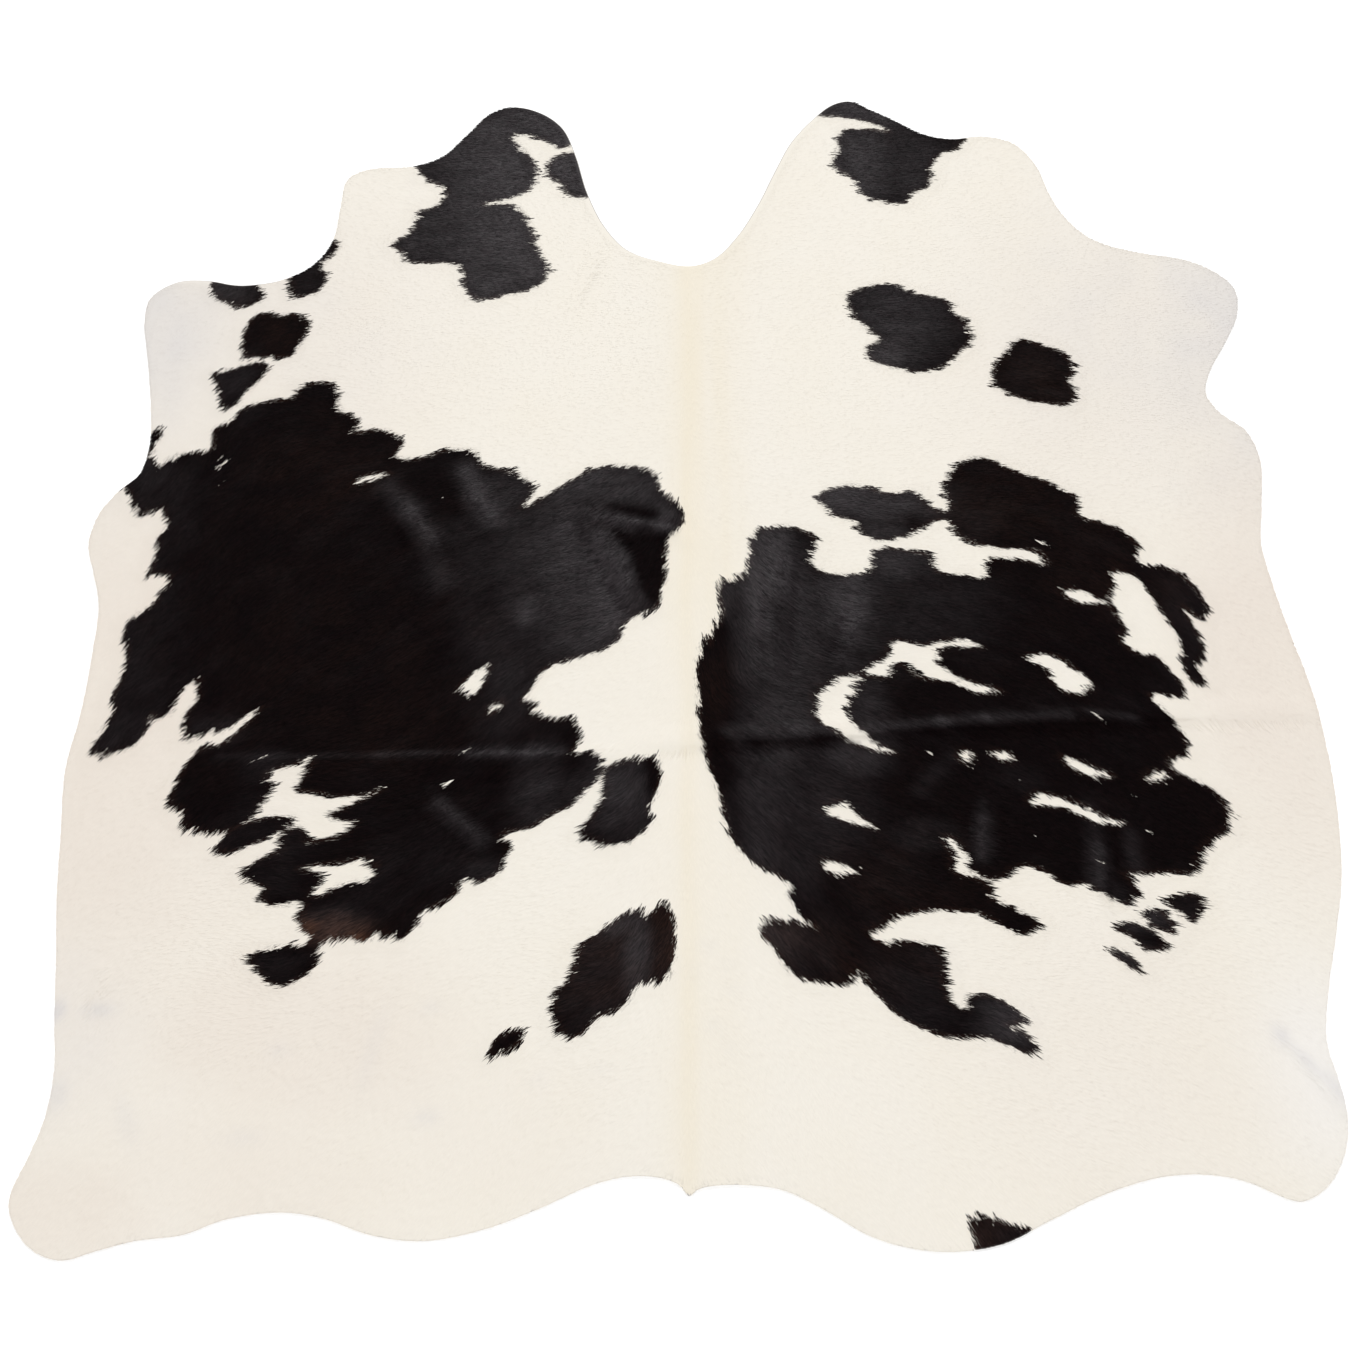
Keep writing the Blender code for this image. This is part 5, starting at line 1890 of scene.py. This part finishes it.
    def build(self, hair: bpy.types.Material, names: tuple[str, ...]) -> list[bpy.types.Object]:
        """Grow the coat in lengthwise strips of about as many locks each.

        Args:
            hair: The locks' material.
            names: The strips' names, from left to right.

        Returns:
            A plain mesh object for each strip.
        """
        locks = self.locks()
        tree, named = self.tree()
        order = np.argsort(locks["place"][:, 0])
        made = []
        for number, (name, chosen) in enumerate(zip(names, np.array_split(order, len(names)))):
            roots = bpy.data.meshes.new(name + "_roots")
            roots.vertices.add(len(chosen))
            roots.vertices.foreach_set("co", locks["place"][chosen].astype(np.float32).ravel())
            for key in ROOT_VECTORS:
                write_vectors(roots, key, locks[key][chosen])
            shown = roots.attributes.new(BLACK_NAME, "FLOAT", "POINT")
            shown.data.foreach_set("value", locks[BLACK_NAME][chosen].astype(np.float32))
            grown = add_object(name + "_roots", roots)
            modifier = grown.modifiers.new("locks", "NODES")
            modifier.node_group = tree
            modifier[named["Tone seed"]] = self.seed + number
            modifier[named["Hair"]] = hair
            bpy.context.view_layer.update()
            evaluated = grown.evaluated_get(bpy.context.evaluated_depsgraph_get())
            data = bpy.data.meshes.new_from_object(evaluated)
            data.name = name
            bpy.data.objects.remove(grown, do_unlink=True)
            strip = add_object(name, data)
            self.map(data)
            black = np.zeros(len(data.vertices))
            data.attributes[BLACK_NAME].data.foreach_get("value", black)
            self.coat.dress(data, black)
            for spent in (*ROOT_VECTORS, BLACK_NAME, HOME_NAME):
                data.attributes.remove(data.attributes[spent])
            made.append(strip)
        return made

    def map(self, data: bpy.types.Mesh) -> None:
        """Lay the strip out from above in two columns, by where each lock is rooted.

        Args:
            data: The strip's mesh.
        """
        places, owner = vertex_places(data), corner_owners(data)
        home = np.zeros(places.size)
        data.attributes[HOME_NAME].data.foreach_get("vector", home)
        home = home.reshape(-1, 3)
        low, high = places.min(0), places.max(0)
        margin, half = self.map_margin, (low[1] + high[1]) / 2
        column = home[:, 1] > half
        wide = high[0] - low[0] + margin
        u = (places[:, 0] - low[0] + np.where(column, wide, 0)) / (2 * wide)
        v = (places[:, 1] - np.where(column, half, low[1]) + margin) / (
            (high[1] - low[1]) / 2 + 2 * margin)
        write_map(data, u[owner], v[owner])


class Softbox(NamedTuple):
    """A soft light that hangs over the rug: where, how wide and high, and its watts."""

    name: str
    place: tuple[float, float, float]
    size: tuple[float, float]
    power: float


SOFTBOXES = (
    Softbox("key_softbox", (0.0, 11.0, 10.0), (10.0, 5.0), 1500),
    Softbox("front_softbox", (0.0, -7.0, 11.5), (9.0, 5.0), 900),
)


@dataclass
class Studio:
    """The pale floor, the soft light and the camera."""

    floor_size: float = 40.0
    floor_drop: float = 0.4 * MM     # under the hide, so that the two don't flicker
    floor_colour: tuple[float, ...] = (0.93, 0.93, 0.93, 1)
    floor_glow: float = 0.25
    floor_roughness: float = 0.9
    floor_shine: float = 0.1
    sky_colour: tuple[float, ...] = (1.0, 1.0, 1.0, 1)
    sky_strength: float = 0.3
    light_aim: tuple[float, float, float] = (0.0, 0.0, 0.0)
    camera_aim: tuple[float, float, float] = (-0.0203, -0.1416, 0.0)
    camera_place: tuple[float, float, float] = (-0.0203, -2.2613, 3.3922)
    lens: float = 70.0               # in millimetres, as is the sensor's width
    sensor: float = 36.0

    def build(self) -> None:
        """Set the whole studio."""
        self.floor()
        self.sky()
        for box in SOFTBOXES:
            self.softbox(box)
        self.camera()
        view = bpy.context.scene.view_settings
        view.view_transform = "Standard"
        view.look = "None"

    def floor(self) -> None:
        """Lay a plain pale floor under the hide."""
        data = bpy.data.meshes.new("floor")
        half = self.floor_size / 2
        corners = [(across * half, along * half, -self.floor_drop)
                   for across, along in ((-1, -1), (1, -1), (1, 1), (-1, 1))]
        data.from_pydata(corners, [], [(0, 1, 2, 3)])
        floor = add_object("floor", data)
        made, t = new_material("pale_floor")
        shader = t.tree.nodes["Principled BSDF"]
        for name, value in (("Base Color", self.floor_colour),
                            ("Emission Color", self.sky_colour),
                            ("Emission Strength", self.floor_glow),
                            ("Roughness", self.floor_roughness),
                            ("Specular IOR Level", self.floor_shine)):
            shader.inputs[name].default_value = value
        data.materials.append(made)

    def sky(self) -> None:
        """Fill in from all round with a plain white sky."""
        world = bpy.data.worlds.new("studio")
        world.use_nodes = True
        back = world.node_tree.nodes["Background"]
        back.inputs["Color"].default_value = self.sky_colour
        back.inputs["Strength"].default_value = self.sky_strength
        bpy.context.scene.world = world

    def softbox(self, box: Softbox) -> None:
        """Hang a soft light.

        Args:
            box: The light's name, place, size and power.
        """
        data = bpy.data.lights.new(box.name, "AREA")
        data.shape = "RECTANGLE"
        data.size, data.size_y = box.size
        data.energy = box.power
        self.point(add_object(box.name, data), box.place, self.light_aim)

    @staticmethod
    def point(thing: bpy.types.Object, place: tuple[float, float, float],
              target: tuple[float, float, float]) -> None:
        """Put a light or the camera in its place and turn it to what it points at.

        Args:
            thing: The light or the camera.
            place: Where it goes.
            target: What it points at.
        """
        thing.location = place
        way = Vector(target) - Vector(place)
        thing.rotation_euler = way.to_track_quat("-Z", "Y").to_euler()

    def camera(self) -> None:
        """Set the camera as the photographer stood: past the rump, looking down."""
        data = bpy.data.cameras.new("camera")
        data.lens, data.sensor_width = self.lens, self.sensor
        camera = add_object("camera", data)
        self.point(camera, self.camera_place, self.camera_aim)
        bpy.context.scene.camera = camera


def main() -> None:
    """Build the rug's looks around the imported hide, and the studio."""
    logging.basicConfig(level=logging.INFO, format="%(message)s")
    form, lie = HideForm(), HairLie()
    rim = Rim(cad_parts["hide"])
    LOG.info("rim: %d points", len(rim.loop))
    coat = CoatMap(lie)
    LOG.info("coat charted")
    colours = CoatColours().group()

    maker = HideSheet(form, rim, coat)
    hide = maker.build()
    hair = HairFinish()
    for finish in (hair.base_material(colours), CUT_EDGE.material(), SUEDE.material()):
        hide.data.materials.append(finish)
    LOG.info("%s: %d faces", hide.name, len(hide.data.polygons))

    fur = FurCoat(form, rim, coat).build(hair.material(colours), (
        "fur_left_flank", "fur_left_back", "fur_spine", "fur_right_back",
        "fur_right_flank"))
    for strip in fur:
        LOG.info("%s: %d locks", strip.name, len(strip.data.polygons))

    for piece in (hide, *fur):
        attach(piece, "root")
    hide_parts("hide")
    Studio().build()


if __name__ == "__main__":
    main()
